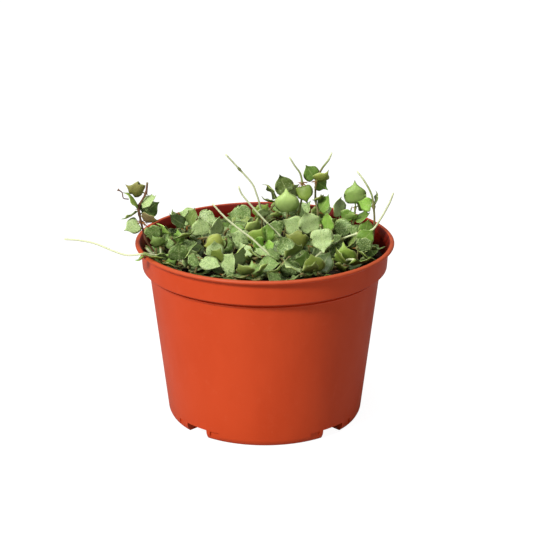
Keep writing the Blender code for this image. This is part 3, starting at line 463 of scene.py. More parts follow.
def leaf_mesh(leaf, grow=0.0, stalk=True):
    """Points and faces of one leaf, lofted through its sections from its stalk to its tip.

    A section is a flat lens: left edge, upper middle, right edge and lower middle. The edges are
    lifted by the cup and swept back at the heel, and the middle sinks along the blade in a
    parabola. A leaf with a shallow cup is flat on top, so its sections have no upper middle. The
    quads of the underside are split along the same slant as those above them, so that the two
    sides of a cupped blade don't cross.
    """
    base, along, across, face = leaf_frame(leaf)
    length, cup = leaf["length"], leaf["cup"]
    half = length * LEAF_ASPECT / 2 * blade_width(STATIONS)
    half[0] = STALK_HALF_WIDTH
    lift = 0.9 * cup * half
    sink = 0.35 * cup * length * ((2 * STATIONS - 1) ** 2 - 1)
    shallow = cup < SHALLOW_CUP
    thick = THICKNESS / 2 + grow
    middle = base + along * (STATIONS * length)[:, None] + face * sink[:, None]
    middle[-1] += along * grow
    edge = across * (half + grow)[:, None]
    rise = face * (lift + grow * shallow)[:, None] + along * (HEEL * length)[:, None]
    ridge = middle + face * thick[:, None]
    keel = middle - face * thick[:, None]
    lines = [middle - edge + rise, ridge, middle + edge + rise, keel]
    if shallow:
        del lines[1]
    rings = np.stack(lines, axis=1)
    sections = list(rings[:-1])
    if stalk:
        root = rings[0] - middle[0] + leaf["node"]
        sections.insert(0, leaf["node"] + (root - leaf["node"]) * 0.8)
    sides = len(lines)
    count = len(sections)
    points = np.vstack([*sections, middle[-1:]])
    faces = [[0, k, k + 1] for k in range(1, sides - 1)]
    for s in range(count - 1):
        for k in range(sides):
            a, b = sides * s + k, sides * s + (k + 1) % sides
            if k < sides - 2:
                faces += [[a, a + sides, b], [b, a + sides, b + sides]]
            else:
                faces += [[a, a + sides, b + sides], [a, b + sides, b]]
    last = sides * (count - 1)
    faces += [[last + k, sides * count, last + (k + 1) % sides] for k in range(sides)]
    return points, faces

# This is what a leaf is until it gets its mesh: a node, a tip's direction, a face, a length and a cup.
sample = {"node": np.zeros(3), "along": (0, 0, 1), "face": (0, -1, 0), "length": 12, "cup": 0.1}
print("a plain leaf has", len(leaf_mesh(sample)[1]), "faces")

# %% [markdown]
# ## What is in the way
# Blender's BVH tree finds crossing faces of two meshes fast. Each mesh in place is kept with a ball round
# it, so that most pairs are told apart by one distance and never reach the tree.

# %% Define the crossing test
def ball_and_tree(points, faces):
    """A mesh ready for the test: its middle, how far it reaches from there, and its tree."""
    middle = points.mean(0)
    reach = np.linalg.norm(points - middle, axis=1).max()
    return middle, reach, BVHTree.FromPolygons(points.tolist(), faces)

class Things:
    """What is already in place, each thing with the shoot it belongs to and its kind."""

    def __init__(self):
        self.rows = []

    def add(self, points, faces, group, kind):
        self.rows.append((*ball_and_tree(points, faces), group, kind))

    def hit(self, points, faces, wanted):
        """Whether this mesh crosses any row that wanted(group, kind) picks."""
        middle, reach, tree = ball_and_tree(points, faces)
        return any(
            tree.overlap(other)
            for centre, far, other, group, kind in self.rows
            if wanted(group, kind) and np.linalg.norm(centre - middle) < far + reach
        )

# %% [markdown]
# ## The outlines of the pot and the mix
# Both are turned shapes, so each is a list of radius and height pairs. They serve twice: as walls that
# leaves must stay clear of, and later as the outlines of the fine pot and the fine mix.

# %% Define the outlines
def rim_profile():
    """The outline of the pot's collar and lip, from the wall inside up and over to the outside."""
    inside = COLLAR_RADIUS - WALL
    return [
        (WALL_TOP_RADIUS - WALL, COLLAR_BOTTOM - 0.4),
        (inside - 0.5, COLLAR_BOTTOM + WALL),
        (inside, POT_HEIGHT - FLARE_START),
        (inside + FLARE, POT_HEIGHT - FLARE_END),
        (LIP_RADIUS - 1.5, POT_HEIGHT),
        (LIP_RADIUS - 0.3, POT_HEIGHT - 0.5),
        (LIP_RADIUS, POT_HEIGHT - 1.3),
        (LIP_RADIUS - 0.4, POT_HEIGHT - LIP_THICKNESS),
        (COLLAR_RADIUS + 0.2, POT_HEIGHT - LIP_THICKNESS - 1.0),
        (COLLAR_RADIUS - 0.6, COLLAR_BOTTOM + 0.4),
        (WALL_TOP_RADIUS + 0.3, COLLAR_BOTTOM - 0.6),
        (WALL_TOP_RADIUS, COLLAR_BOTTOM - 1.2),
    ]

def pot_profile():
    """From the middle of the floor, up the inside, over the lip and down to the base's middle."""
    inside = [(0, WALL), (FOOT_RADIUS - 2.9, WALL), (FOOT_RADIUS - 1.3, 2.6)]
    outside = [(FOOT_RADIUS, 3.0), (FOOT_RADIUS - 1.1, 0.8), (FOOT_RADIUS - 1.9, 0), (0, 0)]
    return [*inside, *rim_profile(), *outside]

def soil_profile():
    """From the middle of the mix's top, out to the pot and down inside it to its floor."""
    edge = COLLAR_RADIUS - WALL - 0.5 - GAP
    wall = WALL_TOP_RADIUS - WALL - GAP
    top = [(radius, SOIL_EDGE) for radius in (0, 15, 32, 52, edge)]
    return [
        *top,
        (edge - 0.1, COLLAR_BOTTOM + WALL + GAP),
        (wall, COLLAR_BOTTOM - 0.4 + GAP),
        (FOOT_RADIUS - 1.3 - GAP, 2.6 + GAP),
        (FOOT_RADIUS - 2.9 - GAP, WALL + GAP),
        (0, WALL + GAP),
    ]

print("outlines:", len(pot_profile()), "points for the pot and", len(soil_profile()), "for the mix")

# %% [markdown]
# ## Finding room for every leaf
# A leaf first tries the attitude that it was given. If it would cut through something, it is swung,
# pitched and rolled a little, and then more and more, until it is clear. Real leaves do the same as they
# grow.

# %% Define how a leaf is turned and seated
# A leaf keeps this far from other pieces, and as a bare blade from its own stem. It may be swung,
# pitched and rolled by so many degrees.
CLEARANCE = 0.36
BARE_CLEARANCE = 0.1
TRIES = 120
MOST_NUDGE = (75, 65, 60)
MOST_SHRINKAGE = 0.3

# At the back left the mat lies low, so that the pot's inner wall shows over it: the stretch along X,
# the wall's own place along Y and the lowest height that shows there, and the slope of that sight.
BARE_WALL = (-47.0, -5.0)
BARE_WALL_FOOT = (68.0, 100.0)
SIGHT_SLOPE = 0.354
MAT_TOP = 123.0

def turned_by(vector, axis, angle):
    """The vector turned about a unit axis by Rodrigues' formula."""
    c, s = math.cos(angle), math.sin(angle)
    return vector * c + np.cross(axis, vector) * s + axis * (axis @ vector) * (1 - c)

def nudged(leaf, share, rng):
    """The leaf swung, pitched and rolled by up to a share of its freedom, and a little smaller."""
    _, along, across, face = leaf_frame(leaf)
    swing, pitch, roll = rng.uniform(-1, 1, 3) * share * np.radians(MOST_NUDGE)
    along = turned_by(along, face, swing)
    along, face = (turned_by(v, across, pitch) for v in (along, face))
    face = turned_by(face, along, roll)
    size = leaf["length"] * (1 - MOST_SHRINKAGE * share)
    return {**leaf, "along": along, "face": face, "length": size}

def mat_ceiling(places):
    """How high the mat may rise at each place."""
    x, y = places[..., 0], places[..., 1]
    back, foot = BARE_WALL_FOOT
    sight = foot + SIGHT_SLOPE * (back - y)
    return np.where((x > BARE_WALL[0]) & (x < BARE_WALL[1]), np.minimum(sight, MAT_TOP), MAT_TOP)

def seat_leaf(leaf, name, things, rng):
    """Adds the leaf in the first attitude that crosses nothing. It stays out if none is clear."""
    for attempt in range(TRIES):
        trial = leaf if attempt == 0 else nudged(leaf, attempt / TRIES, rng)
        fat = leaf_mesh(trial, CLEARANCE)
        if leaf.get("in mat") and (fat[0][:, 2] > mat_ceiling(fat[0])).any():
            continue
        if things.hit(*fat, lambda group, kind: group != name and kind != "bare blade"):
            continue
        bare = leaf_mesh(trial, BARE_CLEARANCE, stalk=False)
        if things.hit(*bare, lambda group, kind: group == name and kind != "leaf"):
            continue
        things.add(*leaf_mesh(trial), name, "leaf")
        things.add(*leaf_mesh(trial, stalk=False), name, "bare blade")
        return trial
    return None

# %% [markdown]
# ## Which leaves the plant asks for
# A leaf is asked for in one of two ways. Its entry in the table says it in a gardener's words, or the
# rule of this plant does: hoya leaves stand in opposite pairs, and each pair is turned a quarter from
# the last. Low pairs spread flat, and the top pair of a stem rises.

# %% Define the leaves that are asked for
PAIR_SWING = 0.4
PAIR_ROLL = 0.8
TOP_PAIR_RISE = (20, 70)
LOW_PAIR_RISE = (-12, 35)
MAT_LEAF_LENGTH = (10.5, 14)
MAT_CUPS = (0.08, 0.12, 0.2, 0.3, 0.45)

def heading(clock, lean):
    """The direction of a tip from its clock angle seen from the front and its lean to the front."""
    clock, lean = math.radians(clock), math.radians(lean)
    flat = math.cos(lean)
    return np.array([math.sin(clock) * flat, -math.sin(lean), math.cos(clock) * flat])

def asked_leaf(node, clock, lean, face, length, cup, look=None):
    """A leaf from its entry in the tables."""
    return {"node": np.array(node, float), "along": heading(clock, lean), "face": np.array(face),
            "length": length, "cup": cup, "look": look}

def crossed_pairs(rng, nodes):
    """Opposite leaves, each pair turned a quarter from the last: low ones spread, top ones rise."""
    first = rng.uniform(0, math.pi)
    found = []
    for k, node in enumerate(nodes):
        top = k == len(nodes) - 1 and k > 0
        for side in (0, math.pi):
            turn = first + k * math.pi / 2 + side + rng.uniform(-PAIR_SWING, PAIR_SWING)
            rise = math.radians(rng.uniform(*(TOP_PAIR_RISE if top else LOW_PAIR_RISE)))
            out = np.array([math.cos(turn), math.sin(turn), 0.0])
            along = out * math.cos(rise) + np.array([0, 0, math.sin(rise)])
            face = np.array([0, 0, math.cos(rise)]) - out * math.sin(rise)
            face = unit(face + np.cross(along, face) * rng.uniform(-PAIR_ROLL, PAIR_ROLL))
            cup = float(rng.choice(MAT_CUPS))
            found.append({"node": node, "along": along, "face": face, "cup": cup,
                          "length": rng.uniform(*MAT_LEAF_LENGTH), "in mat": True})
    return found

print("a tip at three on the clock that leans 30 degrees heads for", heading(90, 30).round(2))

# %% [markdown]
# ## Laying the stems that are known
# The stems of the two tables come first, along their own nodes. Before them stand the pot's rim and the
# mix's top, so that whatever follows can be tested against those too.

# %% Define how the stems are laid
PLAIN_POT_STEPS = 40
PLAIN_MIX_STEPS = 28
PLAIN_SIDES = 6
STEM_STEP = 8.0
STEM_CLEARANCE = 0.5
THICK_POINTS = 3
LOW_PAIR_SHARE = 0.4

def pot_and_mix():
    """The pot's rim and the mix's top as the first things in the way.

    Each quad of the top is split both ways, because the solids could be split either way.
    """
    things = Things()
    things.add(*revolve(rim_profile(), PLAIN_POT_STEPS), "pot", "wall")
    points, faces = revolve(soil_profile()[:5], PLAIN_MIX_STEPS)
    points[:, 2] = soil_height(points[:, 0], points[:, 1])
    both_splits = [
        half for a, b, c, d in faces for half in ((a, b, c), (a, c, d), (a, b, d), (b, c, d))
    ]
    things.add(points, both_splits, "soil", "top")
    return things

def stem_crosses(path, radii, things):
    """Whether this stem, with some air round it, crosses another stem or the pot."""
    fat = tube(path, radii + STEM_CLEARANCE, PLAIN_SIDES)
    return things.hit(*fat, lambda group, kind: kind in ("stem", "wall"))

def lay_named_stems(rng):
    """The stems of the two tables, the leaves that they ask for, and a low pair on each shoot."""
    stems, wanted, later = {}, [], []
    for name, (root, nodes) in SHOOTS.items():
        path = stem_path(root, np.array([place for place, _ in nodes], float), STEM_STEP)
        radii = np.full(len(path), STEM_RADIUS)
        slim = LEAFLESS_TIP.get(name, 0)
        if slim:
            radii[-slim:] = np.linspace(RUNNER_RADIUS, RUNNER_TIP, slim)
        stems[name] = (path, radii)
        wanted += [(name, asked_leaf(place, *leaf)) for place, leaves in nodes for leaf in leaves]
        low = path[1] + (path[2] - path[1]) * LOW_PAIR_SHARE
        later += [(name, leaf) for leaf in crossed_pairs(rng, [low])]
    for name, (root, route) in RUNNERS.items():
        path = stem_path(root, np.array(route, float), STEM_STEP)
        taper = np.linspace(RUNNER_RADIUS, RUNNER_TIP, len(path) - THICK_POINTS)
        stems[name] = (path, np.append([RUNNER_RADIUS] * THICK_POINTS, taper))
        wanted += [(name, asked_leaf(route[k], *leaf)) for k, leaf in RUNNER_LEAVES.get(name, [])]
    return stems, wanted, later

# %% [markdown]
# ## Filling the mat
# Creeping shoots fill what is left: each new root takes the barest spot, and its stem arches over free
# mix. It could also be done with a scatter of copies, but copies would cross each other.

# %% Define how stems creep
MOST_STEMS = 58
ROOT_CHOICES = 300
GOLDEN_ANGLE = math.radians(137.508)
CREEP_RADIUS = 62.0
CREEP_WAYS = 16
CREEP_START = 1.0
CREEP_REACH = (9, 20)
CREEP_RISE = (7, 13)
CREEP_SHARES = (0.34, 0.68, 1.0)
UNDER_CEILING = 2

def creeping_routes(rng, root):
    """Low arching stems from this root, a choice of them all round: the three nodes of each."""
    routes = []
    share = np.array(CREEP_SHARES)[:, None]
    for turn in rng.uniform(0, 2 * math.pi) + np.arange(CREEP_WAYS) * GOLDEN_ANGLE:
        reach = rng.uniform(*CREEP_REACH)
        height = rng.uniform(*CREEP_RISE)
        flat = np.array(root) + np.array([math.cos(turn), math.sin(turn)]) * reach * share**1.3
        high = soil_height(*root) + CREEP_START + height * share**0.8
        route = np.hstack([flat, high])
        low = (high[:, 0] < mat_ceiling(flat) - UNDER_CEILING).all()
        if low and np.hypot(*flat[-1]) < CREEP_RADIUS:
            routes.append(route)
    return routes

def gap_to(spots, places):
    """How far each place lies from the nearest of the spots, seen from above."""
    apart = places[:, None, :2] - np.array(spots)[None]
    return np.linalg.norm(apart, axis=2).min(axis=1)

def lay_creeping_stems(rng, stems, things, spots):
    """Adds stems until there are enough, and gives their leaves.

    The places to try for a root follow a sunflower's spiral, which is even all over the mix. Of the
    clear routes from a root, the stem takes the one whose nodes lie furthest from the spots taken.
    """
    turn = np.arange(ROOT_CHOICES) * GOLDEN_ANGLE
    away = CREEP_RADIUS * np.sqrt((np.arange(ROOT_CHOICES) + 0.5) / ROOT_CHOICES)
    places = np.stack([away * np.cos(turn), away * np.sin(turn)], axis=1)
    found = []
    while len(stems) < MOST_STEMS and len(places):
        best = int(gap_to(spots, places).argmax())
        root, places = places[best], np.delete(places, best, axis=0)
        clear = []
        for nodes in creeping_routes(rng, root):
            path = stem_path(root, nodes, STEM_STEP)
            radii = np.full(len(path), STEM_RADIUS)
            if not stem_crosses(path, radii, things):
                clear.append((gap_to(spots, nodes).sum(), nodes, path, radii))
        if clear:
            _, nodes, path, radii = max(clear, key=lambda choice: choice[0])
            name = f"shoot_{sum(key[-1].isdigit() for key in stems) + 1:02d}"
            stems[name] = (path, radii)
            things.add(*tube(path, radii, PLAIN_SIDES), name, "stem")
            found += [(name, leaf) for leaf in crossed_pairs(rng, nodes)]
            spots += [root, *nodes[:, :2]]
    return found

# %% [markdown]
# ## Laying out the whole plant
# All stems are laid before the first leaf is, because a leaf can give way and a stem can't. The leaves
# from the tables come before those that a rule places, so they get the first choice of the room.

# %% Lay out the plant
LOW_NODE = 116.0

def lay_out_plant():
    """Every stem's path and every leaf's place, as two dictionaries by node name."""
    rng = np.random.default_rng(SEED)
    things = pot_and_mix()
    stems, wanted, later = lay_named_stems(rng)
    for name, (path, radii) in stems.items():
        if stem_crosses(path, radii, things):
            print(name, "crosses another stem or the pot")
        things.add(*tube(path, radii, PLAIN_SIDES), name, "stem")
    spots = [leaf["node"][:2] for _, leaf in wanted if leaf["node"][2] < LOW_NODE]
    spots += [path[0, :2] for path, _ in stems.values()]
    later += lay_creeping_stems(rng, stems, things, spots)
    leaves = {name: [] for name in stems}
    for name, leaf in wanted + later:
        seated = seat_leaf(leaf, name, things, rng)
        if seated:
            leaves[name].append(seated)
    return stems, leaves

stems, leaves = lay_out_plant()
print(len(stems), "stems with", sum(map(len, leaves.values())), "leaves find room")

# %% [markdown]
# ## Tools for making meshes
# Every new piece below is a grid of points, worked out as one numpy array. One helper turns such grids
# into Blender meshes: it puts points, faces and colours into an object. A piece keeps its object at the
# origin and has its place in its mesh, so a pattern that reads Object coordinates stays where it is.

# %% Define the mesh helpers
def new_piece(name, points, faces, materials, face_material=None, colours=None, uv=None):
    """A mesh object from points in millimetres, with its materials, point colours and UV map."""
    mesh = bpy.data.meshes.new(name)
    mesh.from_pydata((np.asarray(points, float) * MM).tolist(), [], faces)
    for material in materials:
        mesh.materials.append(material)
    if face_material is not None:
        mesh.polygons.foreach_set("material_index", np.asarray(face_material, np.int32))
    for key, values in (colours or {}).items():
        layer = mesh.attributes.new(key, "FLOAT_COLOR", "POINT")
        layer.data.foreach_set("color", np.asarray(values, np.float32).ravel())
    if uv is not None:
        corner = np.empty(len(mesh.loops), np.int32)
        mesh.loops.foreach_get("vertex_index", corner)
        layer = mesh.uv_layers.new(name="UVMap")
        layer.uv.foreach_set("vector", np.asarray(uv, np.float32)[corner].ravel())
    mesh.shade_smooth()
    obj = bpy.data.objects.new(name, mesh)
    bpy.context.scene.collection.objects.link(obj)
    return obj

def box_of(obj):
    """Lowest and highest corner of an object's mesh, in metres."""
    points = np.empty(len(obj.data.vertices) * 3, np.float32)
    obj.data.vertices.foreach_get("co", points)
    points = points.reshape(-1, 3)
    return points.min(0), points.max(0)

# %% [markdown]
# ## Tools for making materials
# A material here is a Principled shader whose colour, roughness and bump come from a few noise nodes.
# These helpers keep each recipe short: add a node, link it, mix two colours by a factor.

# %% Define the material helpers
def new_material(name, roughness, specular):
    """An empty recipe: the material, its node tree and its Principled shader."""
    made = bpy.data.materials.new(name)
    made.use_nodes = True
    shader = made.node_tree.nodes["Principled BSDF"]
    shader.inputs["Roughness"].default_value = roughness
    shader.inputs["Specular IOR Level"].default_value = specular
    return made, made.node_tree, shader

def feed(tree, socket, value):
    """Links the socket to a value that is a socket itself, and sets it to any other value."""
    if isinstance(value, bpy.types.NodeSocket):
        tree.links.new(value, socket)
    else:
        socket.default_value = value

def put(tree, kind, **inputs):
    """A new node with these inputs fed, where an underscore stands for a space."""
    node = tree.nodes.new(kind)
    for key, value in inputs.items():
        feed(tree, node.inputs[key.replace("_", " ")], value)
    return node

def object_place(tree):
    """Object coordinates: as every object stands at the origin, the place in the pot's own frame."""
    return tree.nodes.new("ShaderNodeTexCoord").outputs["Object"]

def height_above_floor(tree):
    """The Z of the Object coordinates, in metres."""
    return put(tree, "ShaderNodeSeparateXYZ", Vector=object_place(tree)).outputs["Z"]

def point_colour(tree, name):
    """The outputs of a colour that the mesh brings along for each point."""
    node = tree.nodes.new("ShaderNodeAttribute")
    node.attribute_name = name
    return node.outputs

def noise(tree, scale, detail, roughness, stretch=(1.0, 1.0, 1.0)):
    """Noise on Object coordinates, so many bumps to the metre, stretched along the axes."""
    mapped = put(tree, "ShaderNodeMapping", Vector=object_place(tree), Scale=stretch).outputs["Vector"]
    made = put(tree, "ShaderNodeTexNoise", Vector=mapped, Scale=scale, Detail=detail,
               Roughness=roughness)
    return made.outputs["Fac"]

def mix(tree, factor, first, second):
    """Two colours mixed by a factor. A bare colour is a tuple of three numbers."""
    node = tree.nodes.new("ShaderNodeMix")
    node.data_type = "RGBA"
    for slot, value in ((0, factor), (6, first), (7, second)):
        feed(tree, node.inputs[slot], (*value, 1) if isinstance(value, tuple) else value)
    return node.outputs[2]

def spread(tree, value, low, high, to_low=0.0, to_high=1.0):
    """The value moved from one range to another, smoothly, and held at both ends."""
    node = put(tree, "ShaderNodeMapRange", Value=value, From_Min=low, From_Max=high,
               To_Min=to_low, To_Max=to_high)
    node.interpolation_type = "SMOOTHSTEP"
    return node.outputs["Result"]

def arithmetic(tree, operation, first, second):
    """One Math node on two values."""
    node = tree.nodes.new("ShaderNodeMath")
    node.operation = operation
    feed(tree, node.inputs[0], first)
    feed(tree, node.inputs[1], second)
    return node.outputs[0]

def bump(tree, shader, height, distance):
    """Gives the shader a bump of this depth in metres."""
    node = put(tree, "ShaderNodeBump", Height=height, Distance=distance, Strength=1.0)
    tree.links.new(node.outputs["Normal"], shader.inputs["Normal"])

# %% [markdown]
# ## Terracotta-coloured plastic
# The pot is polypropylene, moulded in one shot. Such plastic has a soft satin sheen, a faint cloudiness
# where the melt flowed, and a grain as fine as orange peel. Dust makes it a little paler in places. The
# lip is duller and yellower, partly from light scuffs and partly as a painted sheen, and the wall's inside
# is painted a darker red as shade. A flat colour would look like a drawing, so three scales of noise are
# laid over it.

# %% Make the plastic
PLASTIC_COLOUR = (0.60, 0.064, 0.014)
PLASTIC_CLOUD = (0.56, 0.056, 0.011)
PLASTIC_DUST = (0.64, 0.110, 0.045)
# Painted shade: the wall's inside is a deeper, darker red.
PLASTIC_INSIDE_SHADE = (0.125, 0.006, 0.002)
# The lip colour: partly scuffs, partly painted sheen along the lip.
PLASTIC_LIP_SCUFF_AND_SHEEN = (0.40, 0.072, 0.026)

def make_plastic():
    """Two reds clouded together, with dust, a lip that is partly scuffed and partly painted sheen, a fine
    grain and some rougher patches.

    The wall's inside is painted a deeper, darker red, as painted shade. A point is inside where its
    distance to the pot's axis, the length of its X and Y, is under a value that grows where the lip flares
    out.
    """
    made, tree, shader = new_material("terracotta_plastic", 0.46, 0.16)
    flat = put(tree, "ShaderNodeVectorMath", Vector=object_place(tree))
    flat.operation = "MULTIPLY"
    flat.inputs[1].default_value = (1, 1, 0)
    away = put(tree, "ShaderNodeVectorMath", Vector=flat.outputs["Vector"])
    away.operation = "LENGTH"
    height = height_above_floor(tree)
    straight = (COLLAR_RADIUS - WALL + 0.3) * MM
    edge = spread(tree, height, (POT_HEIGHT - FLARE_START) * MM, (POT_HEIGHT - FLARE_END) * MM,
                  straight, straight + (FLARE + 0.1) * MM)
    past_edge = arithmetic(tree, "ADD", edge, 0.3 * MM)
    inside = spread(tree, away.outputs["Value"], edge, past_edge, 1.0, 0.0)
    above_ledge = spread(tree, height, COLLAR_BOTTOM * MM, (COLLAR_BOTTOM + 1.5) * MM)
    inside = arithmetic(tree, "MULTIPLY", inside, above_ledge)
    cloud = noise(tree, 28, 3, 0.6, (1.0, 1.0, 0.5))
    dust = noise(tree, 160, 4, 0.65)
    colour = mix(tree, spread(tree, cloud, 0.35, 0.7), PLASTIC_COLOUR, PLASTIC_CLOUD)
    colour = mix(tree, spread(tree, dust, 0.56, 0.9, 0.0, 0.3), colour, PLASTIC_DUST)
    # The lip goes duller and yellower: partly scuffs, partly painted sheen.
    lip = spread(tree, height, (POT_HEIGHT - 1.9) * MM, (POT_HEIGHT - 0.5) * MM, 0.0, 0.85)
    colour = mix(tree, lip, colour, PLASTIC_LIP_SCUFF_AND_SHEEN)
    # Painted shade: the inside of the wall is mixed to a deeper, darker red.
    colour = mix(tree, inside, colour, PLASTIC_INSIDE_SHADE)
    tree.links.new(colour, shader.inputs["Base Color"])
    tree.links.new(spread(tree, cloud, 0.3, 0.75, 0.38, 0.50), shader.inputs["Roughness"])
    grain = noise(tree, 1900, 2, 0.5)
    streak = noise(tree, 240, 2, 0.5, (1.0, 1.0, 0.12))
    bump(tree, shader, arithmetic(tree, "ADD", grain, streak), 0.00006)
    return made

plastic = make_plastic()

# %% [markdown]
# ## Potting mix and its crumbs
# The mix is moist peat with bark and some pale perlite. Its surface is all small shadows, so a strong
# bump on dark brown does most of the work, and real crumbs in the next steps do the rest.

# %% Make the mix, the bark and the perlite
MIX_DARK = (0.008, 0.005, 0.003)
MIX_BROWN = (0.045, 0.026, 0.014)
MIX_FIBRE = (0.12, 0.07, 0.035)
BARK_COLOURS = (0.035, 0.016, 0.008), (0.13, 0.065, 0.03)
PERLITE_COLOURS = (0.42, 0.38, 0.30), (0.75, 0.72, 0.63)

def make_mix():
    """Near-black brown with paler fibres, very rough, with bumps of one and of a quarter millimetre."""
    made, tree, shader = new_material("potting_mix", 0.95, 0.2)
    lumps = noise(tree, 520, 4, 0.7)
    fibres = noise(tree, 900, 3, 0.6, (1.0, 0.25, 1.0))
    colour = mix(tree, spread(tree, lumps, 0.35, 0.75), MIX_DARK, MIX_BROWN)
    colour = mix(tree, spread(tree, fibres, 0.62, 0.8, 0.0, 0.6), colour, MIX_FIBRE)
    tree.links.new(colour, shader.inputs["Base Color"])
    bump(tree, shader, lumps, 0.0008)
    return made

def make_crumb(name, dark, pale, roughness):
    """A crumb's two colours, chosen by noise, with a small bump."""
    made, tree, shader = new_material(name, roughness, 0.25)
    patches = noise(tree, 700, 3, 0.6)
    tree.links.new(mix(tree, spread(tree, patches, 0.35, 0.7), dark, pale), shader.inputs["Base Color"])
    bump(tree, shader, patches, 0.0003)
    return made

mix_material = make_mix()
bark_material = make_crumb("bark", *BARK_COLOURS, 0.9)
perlite_material = make_crumb("perlite", *PERLITE_COLOURS, 0.85)

# %% [markdown]
# ## Leaf skin
# The upper side of this hoya's leaf is green with flecks and blots of silver, which are pockets of air
# under the skin. The margin is a thin pale line, and the underside is smooth. The mesh brings three
# colours with it for each point: the upper side's own green, the underside's own green, and a third
# that holds four numbers: how much silver, how near the margin, which side it is, and how near the
# tip. So one material can serve every leaf, and no two leaves need look alike.

# %% Make the leaf skin
SILVER = (0.47, 0.60, 0.255)
MARGIN = (0.62, 0.70, 0.28)
FLECK = (0.048, 0.088, 0.018)
DRY_TIP = (0.055, 0.040, 0.018)
# Painted shade for leaves low in the mat.
LOW_LEAF_SHADE = (0.026, 0.040, 0.010)

def make_leaf_skin():
    """Silver where noise rises over a level set by the leaf's share of silver, then dark flecks in it.

    Leaves low in the mat are painted darker towards the mix, as shade from the mat above them.
    """
    made, tree, shader = new_material("leaf_skin", 0.42, 0.36)
    upper, under = (point_colour(tree, name)["Color"] for name in ("upper", "under"))
    marks = point_colour(tree, "marks")
    parts = put(tree, "ShaderNodeSeparateColor", Color=marks["Color"]).outputs
    cover, aside, side, along = parts["Red"], parts["Green"], parts["Blue"], marks["Alpha"]
    blots = noise(tree, 1350, 4, 0.66)
    flecks = noise(tree, 2600, 2, 0.6)
    level = arithmetic(tree, "SUBTRACT", 0.68, arithmetic(tree, "MULTIPLY", cover, 0.40))
    high = arithmetic(tree, "ADD", level, 0.17)
    silvered = arithmetic(tree, "MULTIPLY", spread(tree, blots, level, high), 0.92)
    top = mix(tree, silvered, upper, SILVER)
    top = mix(tree, spread(tree, flecks, 0.54, 0.72, 0.0, 0.6), top, FLECK)
    top = mix(tree, spread(tree, aside, 0.0, 0.09, 0.22, 0.0), top, MARGIN)
    clouds = noise(tree, 240, 3, 0.6)
    bottom = mix(tree, spread(tree, clouds, 0.3, 0.7, 0.0, 0.30), under, upper)
    colour = mix(tree, spread(tree, side, 0.45, 0.6), bottom, top)
    colour = mix(tree, spread(tree, aside, 0.88, 0.99, 0.0, 0.6), colour, MARGIN)
    colour = mix(tree, spread(tree, along, 0.90, 0.98, 0.0, 0.85), colour, DRY_TIP)
    # Painted shade: leaves low in the mat go darker towards the mix.
    low = spread(tree, height_above_floor(tree), SOIL_EDGE * MM, (SOIL_EDGE + 14) * MM, 0.85, 0.0)
    colour = mix(tree, low, colour, LOW_LEAF_SHADE)
    tree.links.new(colour, shader.inputs["Base Color"])
    tree.links.new(spread(tree, blots, 0.3, 0.7, 0.36, 0.50), shader.inputs["Roughness"])
    shader.inputs["Subsurface Weight"].default_value = 0.12
    shader.inputs["Subsurface Radius"].default_value = (0.0012, 0.0018, 0.0006)
    bump(tree, shader, arithmetic(tree, "ADD", blots, clouds), 0.00022)
    return made

leaf_skin = make_leaf_skin()

# %% [markdown]
# ## Stem bark
# A young stem is pale green and a little downy. With age it turns woody: first olive, then red-brown.
# The point colour "age" holds that as a number from 0 to 1, and the recipe mixes from pale to brown.
# Rootlets are rust-coloured, and have an age of 2.

# %% Make the stem bark
STEM_YOUNG = (0.66, 0.70, 0.42)
STEM_GREEN = (0.24, 0.29, 0.09)
STEM_OLD = (0.14, 0.060, 0.030)
RUST = (0.34, 0.125, 0.022)

def make_stem_bark():
    """Pale, green, brown and rust in a row along the age, pushed about by fine streaks."""
    made, tree, shader = new_material("stem_bark", 0.6, 0.3)
    age = point_colour(tree, "age")["Color"]
    years = put(tree, "ShaderNodeSeparateColor", Color=age).outputs["Red"]
    streaks = noise(tree, 800, 3, 0.6)
    uneven = arithmetic(tree, "ADD", years, arithmetic(tree, "MULTIPLY", streaks, 0.3))
    colour = mix(tree, spread(tree, uneven, 0.15, 0.55), STEM_YOUNG, STEM_GREEN)
    colour = mix(tree, spread(tree, uneven, 0.55, 0.95), colour, STEM_OLD)
    colour = mix(tree, spread(tree, uneven, 1.35, 1.75), colour, RUST)
    tree.links.new(colour, shader.inputs["Base Color"])
    bump(tree, shader, streaks, 0.0002)
    return made

stem_bark = make_stem_bark()
print("materials:", ", ".join(material.name for material in bpy.data.materials if material.users))

# %% [markdown]
# ## The pot
# An injection-moulded pot is a thin shell of revolution, so its wall is one outline carried round an
# axis. Its outline is the same as that of the plain pot, with each corner rounded by a short curve,
# because a mould has no sharp edges, and the highlight along the lip shows it. A Bezier corner is one
# formula, and it keeps the straight runs straight. Just under the collar runs a thin moulded ring, which
# draws a second fine shadow there.

# %% Turn the pot's wall
POT_STEPS = 192
LONGEST_RUN = 14.0
LIP_CORNER = 0.9
MERGE_DISTANCE = 0.000002

# The ring's corners, outwards from the wall and up from the collar's bottom.
BEAD = [(-0.05, -1.5), (0.75, -1.8), (0.75, -2.2), (-0.15, -2.6)]

